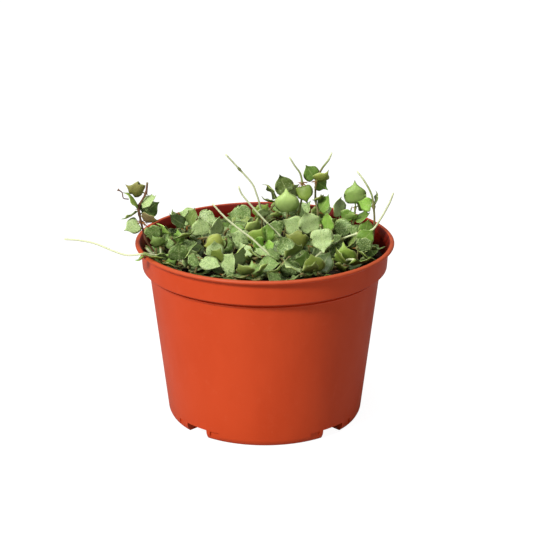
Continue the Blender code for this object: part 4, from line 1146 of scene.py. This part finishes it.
def rounded(points, reach, steps=4):
    """The outline with each inner corner swapped for a quadratic Bezier curve.

    The curve starts and ends at most this reach from the corner, and at most 0.45 of the way to the
    next point, and the corner itself is its control point.
    """
    points = np.asarray(points, float)
    before, corner, after = points[:-2], points[1:-1], points[2:]
    share_in, share_out = (
        np.minimum(reach / np.linalg.norm(corner - end, axis=1), 0.45)[:, None, None]
        for end in (before, after)
    )
    t = np.linspace(0, 1, steps)[None, :, None]
    first = corner[:, None] + (before - corner)[:, None] * share_in
    last = corner[:, None] + (after - corner)[:, None] * share_out
    curve = first * (1 - t) ** 2 + 2 * corner[:, None] * t * (1 - t) + last * t**2
    return np.vstack([points[:1], curve.reshape(-1, 2), points[-1:]])

def with_steps(points, step):
    """The outline with more points on its long runs, none further apart than the step."""
    lengths = np.linalg.norm(np.diff(points, axis=0), axis=1)
    runs = [
        points[k] + (points[k + 1] - points[k]) * np.linspace(0, 1, math.ceil(n / step), False)[:, None]
        for k, n in enumerate(lengths)
    ]
    return np.vstack([*runs, points[-1:]])

def close_mesh(obj):
    """Merges doubled points, as at the poles, and turns every face outwards."""
    bm = bmesh.new()
    bm.from_mesh(obj.data)
    bmesh.ops.remove_doubles(bm, verts=bm.verts, dist=MERGE_DISTANCE)
    bmesh.ops.recalc_face_normals(bm, faces=bm.faces)
    bm.to_mesh(obj.data)
    bm.free()

def with_bead(profile):
    """The profile with the ring's corners let in after the wall's top corner."""
    corner = profile.index(rim_profile()[-1])
    ring = [(WALL_TOP_RADIUS + out, COLLAR_BOTTOM + up) for out, up in BEAD]
    return [*profile[: corner + 1], *ring, *profile[corner + 1 :]]

outline = with_steps(rounded(with_bead(pot_profile()), LIP_CORNER), LONGEST_RUN)
pot = new_piece("nursery_pot", *revolve(outline, POT_STEPS), [plastic])
close_mesh(pot)
print("pot wall:", len(outline), "points in the outline,", len(pot.data.polygons), "faces")

# %% [markdown]
# ## The foot of the pot
# Four notches in the foot let water out, and a small moulded pocket lies on each side of a notch. On the
# real pot the mould makes them. Here boxes are cut out by a Boolean, which is the shortest way to a
# square recess in a round wall. Each notch has a roof inside, so that the mix doesn't fall out.

# %% Define the boxes and the cut
CUBE_SIDES = [(0, 1, 3, 2), (4, 6, 7, 5), (0, 4, 5, 1), (2, 3, 7, 6), (0, 2, 6, 4), (1, 5, 7, 3)]
CUT_PAST_FOOT = 12
CUT_UNDER_FOOT = 4

def copies(faces, corners, count):
    """The faces of so many copies of a mesh, in which each copy has this number of corners."""
    start = corners * np.arange(count)[:, None, None]
    return (np.array(faces) + start).reshape(-1, len(faces[0])).tolist()

def boxes(size, middle, turns):
    """Equal boxes round Z: a unit cube's corners, sized, moved out along X and turned."""
    corners = np.array([(x, y, z) for x in (-0.5, 0.5) for y in (-0.5, 0.5) for z in (-0.5, 0.5)])
    x, y, z = (np.broadcast_to(k, (len(turns), 8)) for k in (corners * size + middle).T)
    c, s = np.cos(turns)[:, None], np.sin(turns)[:, None]
    points = np.stack([x * c - y * s, x * s + y * c, z], axis=-1).reshape(-1, 3)
    return points, copies(CUBE_SIDES, 8, len(turns))

def cut(obj, operation, points, faces):
    """One Boolean with a helper mesh, applied at once, with the helper removed after it."""
    other = new_piece("cutter", points, faces, [plastic])
    close_mesh(other)
    modifier = obj.modifiers.new("Cut", "BOOLEAN")
    modifier.operation = operation
    modifier.object = other
    graph = bpy.context.evaluated_depsgraph_get()
    mesh = bpy.data.meshes.new_from_object(obj.evaluated_get(graph))
    obj.modifiers.clear()
    obj.data = mesh
    bpy.data.objects.remove(other)

def notch_boxes(grow, top):
    """A box for each notch, this much larger all round, and from under the pot to this height."""
    reach = FOOT_RADIUS + CUT_PAST_FOOT - NOTCH_INNER_RADIUS + grow
    size = (reach, NOTCH_WIDTH + 2 * grow, top + CUT_UNDER_FOOT)
    middle = (NOTCH_INNER_RADIUS - grow + reach / 2, 0, (top - CUT_UNDER_FOOT) / 2)
    return boxes(size, middle, NOTCH_TURNS)

# %% [markdown]
# A roof is a box a wall's thickness larger than its notch, kept only where it lies in the pot. So we
# intersect the four boxes with a plug that fills the foot, and join what is left to the wall. Then the
# notches, a drain hole through each roof and the pockets are cut.

# %% Cut the notches, the drain holes and the pockets
PLUG = [(0, 9), (FOOT_RADIUS - 0.1, 9), (FOOT_RADIUS - 0.7, 3), (FOOT_RADIUS - 2.2, 0.5), (0, 0.5)]
DRAIN_ROD = [(0, 6), (DRAIN_HOLE_RADIUS, 6), (DRAIN_HOLE_RADIUS, -6), (0, -6)]
DRAIN_STEPS = 32
DRAIN_FROM_NOTCH = 6
DRAIN_LIFT = 1
POCKET_BOTTOM = 1.2
CUTTER_REACH = 8
SHARP_ANGLE = 38

roofs = new_piece("roofs", *revolve(PLUG, POT_STEPS), [plastic])
close_mesh(roofs)
cut(roofs, "INTERSECT", *notch_boxes(WALL, NOTCH_HEIGHT + WALL))
roof_points = np.array([vertex.co for vertex in roofs.data.vertices]) / MM
roof_faces = [list(face.vertices) for face in roofs.data.polygons]
bpy.data.objects.remove(roofs)
cut(pot, "UNION", roof_points, roof_faces)
cut(pot, "DIFFERENCE", *notch_boxes(0, NOTCH_HEIGHT))
rod_points, rod_faces = revolve(DRAIN_ROD, DRAIN_STEPS)
for turn in NOTCH_TURNS:
    out = (NOTCH_INNER_RADIUS + DRAIN_FROM_NOTCH) * np.array([math.cos(turn), math.sin(turn), 0])
    cut(pot, "DIFFERENCE", rod_points + out + (0, 0, NOTCH_HEIGHT + DRAIN_LIFT), rod_faces)
pocket_turns = np.concatenate([np.add(NOTCH_TURNS, math.radians(POCKET_ANGLE * way)) for way in (-1, 1)])
pocket_middle = FOOT_RADIUS - POCKET_DEPTH + CUTTER_REACH / 2, 0, POCKET_BOTTOM + POCKET_HEIGHT / 2
cut(pot, "DIFFERENCE", *boxes((CUTTER_REACH, POCKET_WIDTH, POCKET_HEIGHT), pocket_middle, pocket_turns))
pot.data.shade_smooth()
pot.data.set_sharp_from_angle(angle=math.radians(SHARP_ANGLE))
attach(pot, "root")
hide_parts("pot")
print("pot:", len(pot.data.polygons), "faces after", len(NOTCH_TURNS), "notches and",
      len(pocket_turns), "pockets")

# %% [markdown]
# ## The ball of mix
# Only its top shows, between the leaves. Its lumps are a sum of waves in several directions and sizes:
# the two broad waves of the plain mix, and finer ones on top. A sum of waves costs one line, where a
# simulation of grains would cost minutes and would hardly show.

# %% Turn the mix and roughen its top
MIX_STEPS = 144
MIX_RINGS = 40
GRIT = 0.32
GRIT_WAVES = [(1.9, 0.4, 1.0), (1.13, 1.3, 0.7), (0.71, 2.2, 0.5)]

def grit(x, y):
    """Fine lumps: a sum of products of two crossed waves, each with its size, its angle a and share."""
    return sum(
        share * np.sin((x * math.cos(a) + y * math.sin(a)) / size + 3 * a)
        * np.sin((y * math.cos(a) - x * math.sin(a)) / size + a)
        for size, a, share in GRIT_WAVES
    )

mix_outline = np.array(soil_profile(), float)
mix_edge, edge_height = mix_outline[4]
rings = np.stack([np.linspace(0, mix_edge, MIX_RINGS), np.full(MIX_RINGS, edge_height)], axis=1)
mix_points, mix_faces = revolve(np.vstack([rings, mix_outline[5:]]), MIX_STEPS)
top = slice(MIX_RINGS * MIX_STEPS)
x, y = mix_points[top, :2].T
fade = 1 - (np.hypot(x, y) / mix_edge) ** 8
mix_points[top, 2] = soil_height(x, y) + GRIT * grit(x, y) * fade
potting = new_piece("potting_ball", mix_points, mix_faces, [mix_material])
close_mesh(potting)
cut(potting, "DIFFERENCE", *notch_boxes(WALL + GAP, NOTCH_HEIGHT + WALL + GAP))
potting.data.shade_smooth()
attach(potting, "root")
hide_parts("soil")
print("mix:", len(potting.data.polygons), "faces")

# %% [markdown]
# ## Crumbs on the mix
# Bark chips and perlite lie on top, partly sunk. Each is a 20-sided lump whose corners are pushed about
# and which is squashed and turned at random. All crumbs of one kind are one mesh, because a thousand
# objects would be slow and would say nothing more.

# %% Scatter bark and perlite
GOLDEN_RATIO = (1 + math.sqrt(5)) / 2
BARK_COUNT, PERLITE_COUNT = 620, 40
FREE_RING = 2.5

def icosahedron():
    """Twelve corners, which are the even turns of (0, 1, golden ratio), and the 20 faces of their hull."""
    corners = np.array([(0, a, b) for a in (-1, 1) for b in (-GOLDEN_RATIO, GOLDEN_RATIO)])
    corners = np.vstack([corners, corners[:, [2, 0, 1]], corners[:, [1, 2, 0]]])
    bm = bmesh.new()
    for corner in corners:
        bm.verts.new(corner / np.linalg.norm(corner))
    bmesh.ops.convex_hull(bm, input=bm.verts)
    bm.verts.index_update()
    faces = np.array([[vertex.index for vertex in face.verts] for face in bm.faces])
    points = np.array([vertex.co for vertex in bm.verts])
    bm.free()
    return points, faces

def crumbs(name, count, sizes, flatness, seed, material):
    """Lumps spread evenly over the mix: jittered, squashed along Z, tilted, turned and partly sunk."""
    draw = np.random.default_rng(seed)
    unit_points, unit_faces = icosahedron()
    size = draw.uniform(*sizes, count) * draw.uniform(0.6, 1.0, count)
    lumps = unit_points[None] * (1 + draw.uniform(-0.28, 0.28, (count, len(unit_points), 1)))
    length, width, height = (lumps[..., k] * size[:, None] for k in range(3))
    width = width * draw.uniform(0.5, 1, (count, 1))
    tilt_along, tilt_across = draw.uniform(-0.4, 0.4, (2, count, 1))
    height = height * flatness + length * tilt_along + width * tilt_across
    spin = draw.uniform(0, 2 * math.pi, (count, 1))
    local = np.stack([length * np.cos(spin) - width * np.sin(spin),
                      length * np.sin(spin) + width * np.cos(spin), height], axis=-1)
    away = (mix_edge - FREE_RING) * np.sqrt(draw.uniform(0, 1, count))
    turn = draw.uniform(0, 2 * math.pi, count)
    x, y = away * np.cos(turn), away * np.sin(turn)
    place = np.stack([x, y, soil_height(x, y) + 0.15 * size], axis=-1)
    points = (local + place[:, None]).reshape(-1, 3)
    made = new_piece(name, points, copies(unit_faces, len(unit_points), count), [material])
    close_mesh(made)
    made.data.shade_flat()
    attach(made, "root")

crumbs("bark_chips", BARK_COUNT, sizes=(0.5, 1.9), flatness=0.45, seed=11, material=bark_material)
crumbs("perlite_crumbs", PERLITE_COUNT, sizes=(0.45, 1.25), flatness=0.8, seed=12,
       material=perlite_material)
print("crumbs:", BARK_COUNT, "chips of bark and", PERLITE_COUNT, "of perlite")

# %% [markdown]
# ## The fine leaf
# A real blade of this hoya is a thick lens with a heart-shaped heel, a waved margin and a drip tip that
# turns up. It is one closed surface: a ring of points goes round the section, and the rings follow each
# other from the heel to the tip. The cosine of the angle round the ring is the place across the blade,
# and its sine is the place between the two skins, so the edge comes out thin by itself. It could also
# be a flat sheet with a Solidify modifier, but then the edge would be a cut wall.

# %% Define the fine leaf
BLADE_HALF_THICKNESS = 0.52
RING_POINTS = 8
ROUND_LOOKS = ("pale", "onion")
STATIONS_NEAR = np.array([0.0, 0.035, 0.09, 0.18, 0.31, 0.46, 0.58, 0.67, 0.75, 0.84, 0.92])
STATIONS_FAR = np.array([0.0, 0.05, 0.15, 0.33, 0.53, 0.66, 0.77, 0.89])

def fine_leaf(leaf, draw):
    """Points, faces, places across, places along and side of one leaf with its stalk.

    The middle line sinks in a parabola by the cup. The edges are lifted by the cup times the square
    of the place across, folded a little along the midrib, swept back at the heel, and waved by a
    sine of the share along the blade that grows with the cube of the place across. A power of the
    share, drawn for each leaf, sets how early its outline falls to the tip, and the tip turns up.
    Broad leaves seen from behind keep the plain round outline.
    """
    base, along, across, face = leaf_frame(leaf)
    length, cup, look = leaf["length"], leaf["cup"], leaf.get("look")
    count, v = RING_POINTS, STATIONS_NEAR if look else STATIONS_FAR
    turn = 2 * math.pi * np.arange(count) / count
    c, s = np.cos(turn)[None, :, None], np.sin(turn)[None, :, None]
    early = draw.uniform(0.78, 1.05)
    half = length * LEAF_ASPECT / 2 * blade_width(v if look in ROUND_LOOKS else v**early)
    half[0] = STALK_HALF_WIDTH
    heel = -0.083 * length * (v / 0.11) * np.exp(1 - v / 0.11)
    sink = 0.35 * cup * length * ((2 * v - 1) ** 2 - 1)
    curl = draw.uniform(0.04, 0.15) * length * smoothstep(v, 0.72, 1.0)
    thick = BLADE_HALF_THICKNESS * np.interp(v, [0, 0.1, 0.4, 0.8, 1], [0.75, 0.95, 1, 0.7, 0.2])
    wave_count, phases = draw.uniform(1.3, 2.6), draw.uniform(0, 2 * math.pi, 2)
    wave_height, fold = draw.uniform(0.08, 0.26), draw.uniform(0, 0.22)
    wave = np.sin(2 * math.pi * wave_count * v[:, None, None] + np.where(c > 0, *phases))
    wave = wave_height * wave * np.abs(c) ** 3
    half, heel, sink, curl, thick = (k[:, None, None] for k in (half, heel, sink, curl, thick))
    rings = (
        base + along * (v * length)[:, None, None] + face * (sink + curl)
        + across * half * c + along * heel * c**2
        + face * ((0.9 * cup * c**2 + fold * (np.abs(c) - c**2) + wave) * half + thick * s)
    )
    foot = rings[0] - base
    stalk = [leaf["node"] + foot * 0.75, (leaf["node"] + base) / 2 + foot * 0.62 - face * 0.25]
    tip = base + along * length + face * curl[-1, 0, 0] * 1.3
    points = np.vstack([*stalk, *rings, tip[None]])
    rows = len(v) + 2
    last = (rows - 1) * count
    faces = grid_faces(rows, count)
    faces += [[last + k, last + (k + 1) % count, rows * count] for k in range(count)]
    faces.append(list(range(count))[::-1])
    place_across = np.append(np.tile(np.cos(turn), rows), 0.0)
    place_along = np.append(np.repeat([-0.12, -0.06, *v], count), 1.0)
    side = np.append(np.tile(0.5 + 0.5 * np.sign(np.round(np.sin(turn), 6)), rows), 0.5)
    return points, faces, place_across, place_along, side

# %% [markdown]
# ## How each leaf is coloured
# On one plant the leaves differ a lot: old ones are dark with a silver mottle, young ones are a plain
# bright green, and a leaf that turns its back shows a smooth yellow-green dome. Ten looks cover them. A
# look is the colour of the upper side, how much of it the silver covers, and the colour underneath.
# Leaves that aren't in the table above draw one of the common looks.

# %% Name the looks
LOOKS = {
    "silver": ((0.185, 0.285, 0.085), 0.84, (0.33, 0.41, 0.11)),
    "mottled": ((0.120, 0.195, 0.046), 0.50, (0.25, 0.33, 0.070)),
    "deep": ((0.062, 0.108, 0.017), 0.22, (0.14, 0.18, 0.030)),
    "green": ((0.135, 0.240, 0.036), 0.20, (0.22, 0.31, 0.050)),
    "bright": ((0.210, 0.380, 0.055), 0.34, (0.30, 0.45, 0.080)),
    "olive": ((0.115, 0.165, 0.034), 0.30, (0.27, 0.31, 0.060)),
    "pale": ((0.190, 0.310, 0.060), 0.45, (0.40, 0.54, 0.165)),
    "onion": ((0.160, 0.270, 0.050), 0.40, (0.205, 0.305, 0.075)),
    "brown": ((0.140, 0.105, 0.035), 0.20, (0.215, 0.160, 0.065)),
    "bronze": ((0.110, 0.120, 0.028), 0.20, (0.170, 0.160, 0.040)),
}
COMMON_LOOKS = ["mottled", "silver", "green", "deep", "olive", "bright"]
COMMON_SHARES = [0.38, 0.24, 0.14, 0.12, 0.06, 0.06]

def leaf_colours(leaf, draw, across, along, side):
    """The three point colours of a leaf: its upper green, its under green, and its marks.

    Each leaf has its own shade, and its colour is a little darker near the heel, by a bell curve.
    """
    look = leaf.get("look") or draw.choice(COMMON_LOOKS, p=COMMON_SHARES)
    upper, cover, under = LOOKS[look]
    shade = draw.uniform(0.78, 1.44)
    heart = 1 - 0.22 * np.exp(-((along - 0.05) / 0.16) ** 2)[:, None]
    cover = np.clip(cover + draw.uniform(-0.10, 0.10), 0, 1)
    marks = np.stack([np.full(len(across), cover), np.abs(across), side, np.clip(along, 0, 1)], axis=1)
    opaque = np.ones((len(across), 1))
    upper, under = (np.hstack([np.array(colour) * shade * heart, opaque]) for colour in (upper, under))
    return upper, under, marks

named_leaves = sum(len(leaves) for _, nodes in SHOOTS.values() for _, leaves in nodes)
print(len(LOOKS), "looks for", named_leaves, "named leaves")

# %% [markdown]
# ## Stems with nodes and rootlets
# A stem is a tube along its curve, a little swollen at each node. Hoyas also put out short brown
# rootlets at their nodes, with which they cling to bark. They are hair-fine, but without them the nodes
# look bald, so up to two grow beside each leaf, as thin three-sided tubes that droop.

# %% Define the stem and its rootlets
FINE_STEP = 1.8
SLIMMER = (0.80, 1.15)
NODE_SWELLING = 0.36
NODE_REACH = 1.1
KNOT_REACH = 1.9
ROOTLET_RADII = 0.27 * np.array([1, 0.85, 0.65, 0.3])
ROOTLET_DROOP = np.array([0, 0, -0.9])
ROOTLET_SIDES = 3

def fine_stem(path, radii, nodes, knots):
    """Points and faces of a stem, and how slim and how knotty it is at each point.

    The curve goes on through the points of the plain stem, with the radius as a fourth coordinate.
    Old wood is a little slimmer than the plain stem, and a young tip a little stouter.
    To that comes a swelling at each node and knot, a bell curve of the distance to it. A knot is
    also browner than the rest.
    """
    rows = np.hstack([path, radii[:, None]])
    rows = np.vstack([rows[:1], spline(rows[1:], FINE_STEP)])
    fine_path, fine_radii = rows[:, :3], np.clip(rows[:, 3], RUNNER_TIP, STEM_RADIUS)
    slim = (STEM_RADIUS - fine_radii) / (STEM_RADIUS - RUNNER_TIP)
    fine_radii = fine_radii * np.interp(slim, (0, 1), SLIMMER)
    brown = np.zeros(len(fine_path))
    for place in [*nodes, *knots]:
        near = np.linalg.norm(fine_path - place, axis=1) / NODE_REACH
        fine_radii = fine_radii + NODE_SWELLING * np.exp(-(near**2))
    for place in knots:
        near = np.linalg.norm(fine_path - place, axis=1) / KNOT_REACH
        brown = np.maximum(brown, np.exp(-(near**2)))
    points, faces = tube(fine_path, fine_radii, STEM_SIDES)
    return points, faces, np.repeat(slim, STEM_SIDES), np.repeat(brown, STEM_SIDES)

def rootlet(node, draw, least=1.8, most=3.8):
    """A thin tube that leaves the node sideways and droops in a parabola."""
    turn = draw.uniform(0, 2 * math.pi)
    out = np.array([math.cos(turn), math.sin(turn), draw.uniform(-0.4, 0.5)])
    t = np.linspace(0, 1, len(ROOTLET_RADII))[:, None]
    reach = draw.uniform(least, most)
    path = node + out * reach * t + ROOTLET_DROOP * (t * reach / 3) ** 2
    return tube(path, ROOTLET_RADII, ROOTLET_SIDES)

# %% [markdown]
# ## Dressing every shoot
# Now each plain shoot is swapped for a fine one of the same form: a stem, its leaves and its rootlets in
# one mesh with two materials. A finer leaf goes where a leaf was listed, and a simpler one where
# the mat repeats it, since those are seen by the hundred.

# %% Define the parts of a fine shoot
AGE_OF_SHOOT = 0.62
AGE_OF_RUNNER = 0.02
AGE_OF_KNOT = 0.55
AGE_OF_ROOTLET = 2.0
SHOOT_AGES = {"shoot_right_arm": 0.12, "shoot_onion": 0.45, "shoot_top_left": 0.50,
              "shoot_left_spray": 0.95}
ROOTLETS_BY_LEAF = 2
LIKELY_ROOTLET = 0.55
SKIN, BARK = 0, 1

# Knots are bare nodes, by the stem's own points. Tufts are a node's place in the list of the shoot's
# leaves, how many rootlets grow there, and how short and how long they are.
KNOTS = {"runner_tall": [-3], "runner_left": [-6], "shoot_right_arm": [3, 4], "shoot_right_tall": [-4]}
TUFTS = {
    "shoot_top_left": (2, 18, 1.5, 5.0),
    "shoot_left_spray": (1, 14, 2.0, 5.5),
    "shoot_right_arm": (0, 26, 0.9, 1.5),
    "shoot_top_right": (3, 9, 1.5, 3.8),
}

def gather(parts):
    """Joins lists of points and faces, counting the points up as it goes."""
    starts = np.cumsum([0] + [len(points) for points, _ in parts[:-1]])
    faces = [[k + start for k in face] for (_, own), start in zip(parts, starts) for face in own]
    return np.vstack([points for points, _ in parts]), faces

def in_skin(points, faces, across, along, colours):
    """A leaf as a part: its mesh, its faces' material, its UV map, its three colours, and no age."""
    uv = np.stack([0.5 + 0.5 * across, along], axis=1)
    return (points, faces), np.full(len(faces), SKIN), uv, *colours, np.zeros((len(points), 4))

def in_bark(points, faces, age):
    """A stem or a rootlet as a part: its UV map and colours are blank, and its age counts."""
    uv, blank = np.zeros((len(points), 2)), np.ones((len(points), 4))
    ages = blank * np.reshape(age, (-1, 1))
    return (points, faces), np.full(len(faces), BARK), uv, blank, blank, blank, ages

# %% [markdown]
# Every shoot has a random generator of its own, seeded by its name, so that a change to one shoot leaves
# all the others as they were. The parts are joined by stacking their arrays, which is faster than joining
# objects.

# %% Dress every shoot
def dress_shoot(name, stem, leaves):
    """One fine shoot: a stem, its leaves and its rootlets, gathered into one mesh."""
    draw = np.random.default_rng([SEED, sum(name.encode())])
    points, faces, thin, knotty = stem
    woody = SHOOT_AGES.get(name, AGE_OF_RUNNER if name in RUNNERS else AGE_OF_SHOOT)
    age = np.maximum(woody + (AGE_OF_RUNNER - woody) * thin, AGE_OF_KNOT * knotty)
    parts = [in_bark(points, faces, age)]
    for leaf in leaves:
        points, faces, across, along, side = fine_leaf(leaf, draw)
        colours = leaf_colours(leaf, draw, across, along, side)
        parts.append(in_skin(points, faces, across, along, colours))
    roots = [rootlet(leaf["node"], draw) for leaf in leaves for _ in range(ROOTLETS_BY_LEAF)
             if draw.uniform() < LIKELY_ROOTLET]
    if name in TUFTS:
        which, count, least, most = TUFTS[name]
        roots += [rootlet(leaves[which]["node"], draw, least, most) for _ in range(count)]
    parts += [in_bark(*root, AGE_OF_ROOTLET) for root in roots]
    meshes, slots, uvs, *colours = zip(*parts)
    layers = dict(zip(("upper", "under", "marks", "age"), map(np.vstack, colours)))
    title = name.replace("shoot_", "sprig_").replace("runner_", "tendril_")
    made = new_piece(title, *gather(meshes), [leaf_skin, stem_bark], np.concatenate(slots),
                     layers, np.vstack(uvs))
    close_mesh(made)
    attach(made, "root")
    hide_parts(name)
    return made

sprigs = []
for name, (path, radii) in stems.items():
    nodes = {tuple(leaf["node"]): leaf["node"] for leaf in leaves[name]}.values()
    knots = [path[k] for k in KNOTS.get(name, [])]
    sprigs.append(dress_shoot(name, fine_stem(path, radii, nodes, knots), leaves[name]))
print(len(sprigs), "shoots with", sum(map(len, leaves.values())), "leaves,",
      sum(len(obj.data.polygons) for obj in sprigs), "faces")

# %% [markdown]
# ## Cut stubs
# Old stems were cut back before the pot was filled with cuttings, and their stubs still stand here and
# there: pale or brown sticks with a cut end. Each starts in the mix or on a stem, and its route is a few
# points, so the same tube that makes a stem makes a stub.

# %% Stand the stubs in the mix
# Each stub is its radius, its age, how much wider its cut end is, and its route.
STUBS = [
    (0.70, 0.04, 0.15, [(-60.6, -12, 91), (-60.4, -12, 100), (-60.5, -12.3, 106.2)]),
    (0.62, 0.60, 0.15, [(-63.4, -9, 91), (-63.3, -9, 100), (-63.2, -9, 104.2)]),
    (0.75, 0.05, 0.15, [(-64.2, -6.6, 100.6), (-66.4, -9, 101.4), (-69.4, -9.4, 105.2)]),
    (0.70, 0.85, 0.15, [(7.6, -8, 91), (8.0, -8.2, 97), (8.7, -8, 101.4)]),
    (0.80, 0.05, 0.15, [(10.2, -9, 91), (10.6, -9, 96), (11.6, -9.2, 100.6)]),
    (0.75, 0.10, 0.15, [(32.0, -24.4, 91), (32.4, -24.6, 98), (34.6, -24.6, 105.4)]),
    (0.70, 0.02, 0.15, [(34.2, -24.6, 104.2), (31.5, -25, 105.0), (28.2, -25.4, 103.6)]),
    (0.70, 0.02, 0.15, [(46.8, -28.2, 99.4), (45.6, -32.2, 103), (47, -33.4, 105.4), (51.6, -33.8, 105.7)]),
    (0.34, 0.90, 1.8, [(-78.6, -8, 133.8), (-81.6, -8.6, 134.6), (-82.2, -8.8, 138.0), (-84.6, -9, 139.8)]),
]
CUT_END_LENGTH = 0.6
STUB_STEP = 1.2
AGE_OF_CUT_END = 0.7

def make_stub(name, radius, age, swelling, route):
    """A tube along the route with a darker ring of dried bark at its end, wider by the swelling."""
    path = spline(np.array(route, float), STUB_STEP)
    left = np.linalg.norm(path - path[-1], axis=1)
    dried = np.exp(-((left / CUT_END_LENGTH) ** 2))
    points, faces = tube(path, radius * (1 + swelling * dried), STEM_SIDES)
    ages = np.repeat(age + (AGE_OF_CUT_END - age) * dried, STEM_SIDES)
    layers = {"age": np.repeat(ages[:, None], 4, axis=1)}
    made = new_piece(name, points, faces, [stem_bark], colours=layers)
    close_mesh(made)
    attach(made, "root")
    return made

stubs = [make_stub(f"cut_stub_{k}", *stub) for k, stub in enumerate(STUBS, start=1)]
highest = max(box_of(stub)[1][2] for stub in stubs)
print(len(stubs), "cut stubs, the tallest up to", round(highest / MM), "mm")

# %% [markdown]
# ## The floor, the light and the camera
# The plant stands on a plain pale floor in a white studio. A large soft light on the front left models
# the pot, as its left side is bright and its right side falls off. The surroundings look pure white
# to the camera, but light the plant only weakly, so that the pot keeps its shading.

# %% Set up the studio
FLOOR_SIDE = 4000.0
FLOOR_DROP = 0.02
FLOOR_GLOW = 0.95
FLOOR_SEEN, FLOOR_LIT = (0.16, 0.16, 0.16), (0.38, 0.38, 0.38)
SKY_SEEN, SKY_LIT = (1.0, 1.0, 1.0), (0.24, 0.24, 0.24)

# Each light is its place and its aim in metres, its width in metres and its power in watts.
LIGHTS = {
    "key": ((-0.72, -0.78, 0.85), (0, 0, 0.08), 0.26, 18.0),
    "top": ((0.0, -0.15, 1.25), (0, 0, 0.10), 0.5, 7.5),
    "fill": ((0.85, -0.75, 0.45), (0, 0, 0.08), 0.8, 1.15),
}

scene = bpy.context.scene
scene.view_settings.view_transform = "Standard"

def make_floor():
    """A wide pale plane with a little light of its own, so that it stays near white."""
    made, tree, shader = new_material("pale_floor", 0.9, 0.1)
    shader.inputs["Emission Color"].default_value = (1, 1, 1, 1)
    seen = tree.nodes.new("ShaderNodeLightPath").outputs["Is Camera Ray"]
    tree.links.new(mix(tree, seen, FLOOR_LIT, FLOOR_SEEN), shader.inputs["Base Color"])
    tree.links.new(arithmetic(tree, "MULTIPLY", seen, FLOOR_GLOW), shader.inputs["Emission Strength"])
    corners = FLOOR_SIDE * np.array([(-1, -1, 0), (1, -1, 0), (1, 1, 0), (-1, 1, 0)])
    floor = new_piece("floor", corners - (0, 0, FLOOR_DROP), [[0, 1, 2, 3]], [made])

def area_light(name, place, aim, width, power):
    """A square soft light, turned from its place to its aim."""
    data = bpy.data.lights.new(name, "AREA")
    data.shape = "SQUARE"
    data.size = width
    data.energy = power
    obj = bpy.data.objects.new(name, data)
    obj.location = place
    obj.rotation_euler = (Vector(aim) - Vector(place)).to_track_quat("-Z", "Y").to_euler()
    scene.collection.objects.link(obj)

def make_world():
    """White to the camera, and a weaker grey to everything else."""
    world = bpy.data.worlds.new("studio")
    world.use_nodes = True
    tree = world.node_tree
    ground = tree.nodes["Background"]
    seen = tree.nodes.new("ShaderNodeLightPath").outputs["Is Camera Ray"]
    tree.links.new(mix(tree, seen, SKY_LIT, SKY_SEEN), ground.inputs["Color"])
    scene.world = world

make_floor()
make_world()
for name, light in LIGHTS.items():
    area_light(name, *light)
print("lights, in watts:", {name: light[-1] for name, light in LIGHTS.items()})

# %% [markdown]
# The camera stands a metre away and looks down by 19 degrees, which is how round the lip appears. Its
# long lens keeps the pot's sides nearly parallel.

# %% Place the camera
CAMERA_AIM = (0.001, 0.0, 0.0899)
CAMERA_DISTANCE = 1.0
CAMERA_ELEVATION = math.radians(19.04)
CAMERA_LENS = 114.4
SENSOR_WIDTH = 36.0

camera = bpy.data.objects.new("camera", bpy.data.cameras.new("camera"))
scene.collection.objects.link(camera)
camera.data.sensor_width = SENSOR_WIDTH
camera.data.lens = CAMERA_LENS
back = Vector((0, -math.cos(CAMERA_ELEVATION), math.sin(CAMERA_ELEVATION)))
camera.location = Vector(CAMERA_AIM) + back * CAMERA_DISTANCE
camera.rotation_euler = (-back).to_track_quat("-Z", "Y").to_euler()
scene.camera = camera
print("camera, in metres:", [round(side, 3) for side in camera.location])

# %% [markdown]
# ## Checking the size
# A dressed shoot must not outgrow its solid. We compare the two boxes for each shoot, and print the
# three that reach furthest past theirs.

# %% Compare and finish
def outgrown(obj, node):
    """How far, in mm, a fine piece reaches past the box of the solid that it stands for."""
    solid_low, solid_high = (np.array(corner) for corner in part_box(node))
    fine_low, fine_high = box_of(obj)
    return round(float(max((solid_low - fine_low).max(), (fine_high - solid_high).max())) / MM, 1)

excess = sorted((outgrown(sprig, name), name) for sprig, name in zip(sprigs, stems))
print("furthest past their solids, in mm:", excess[-3:])
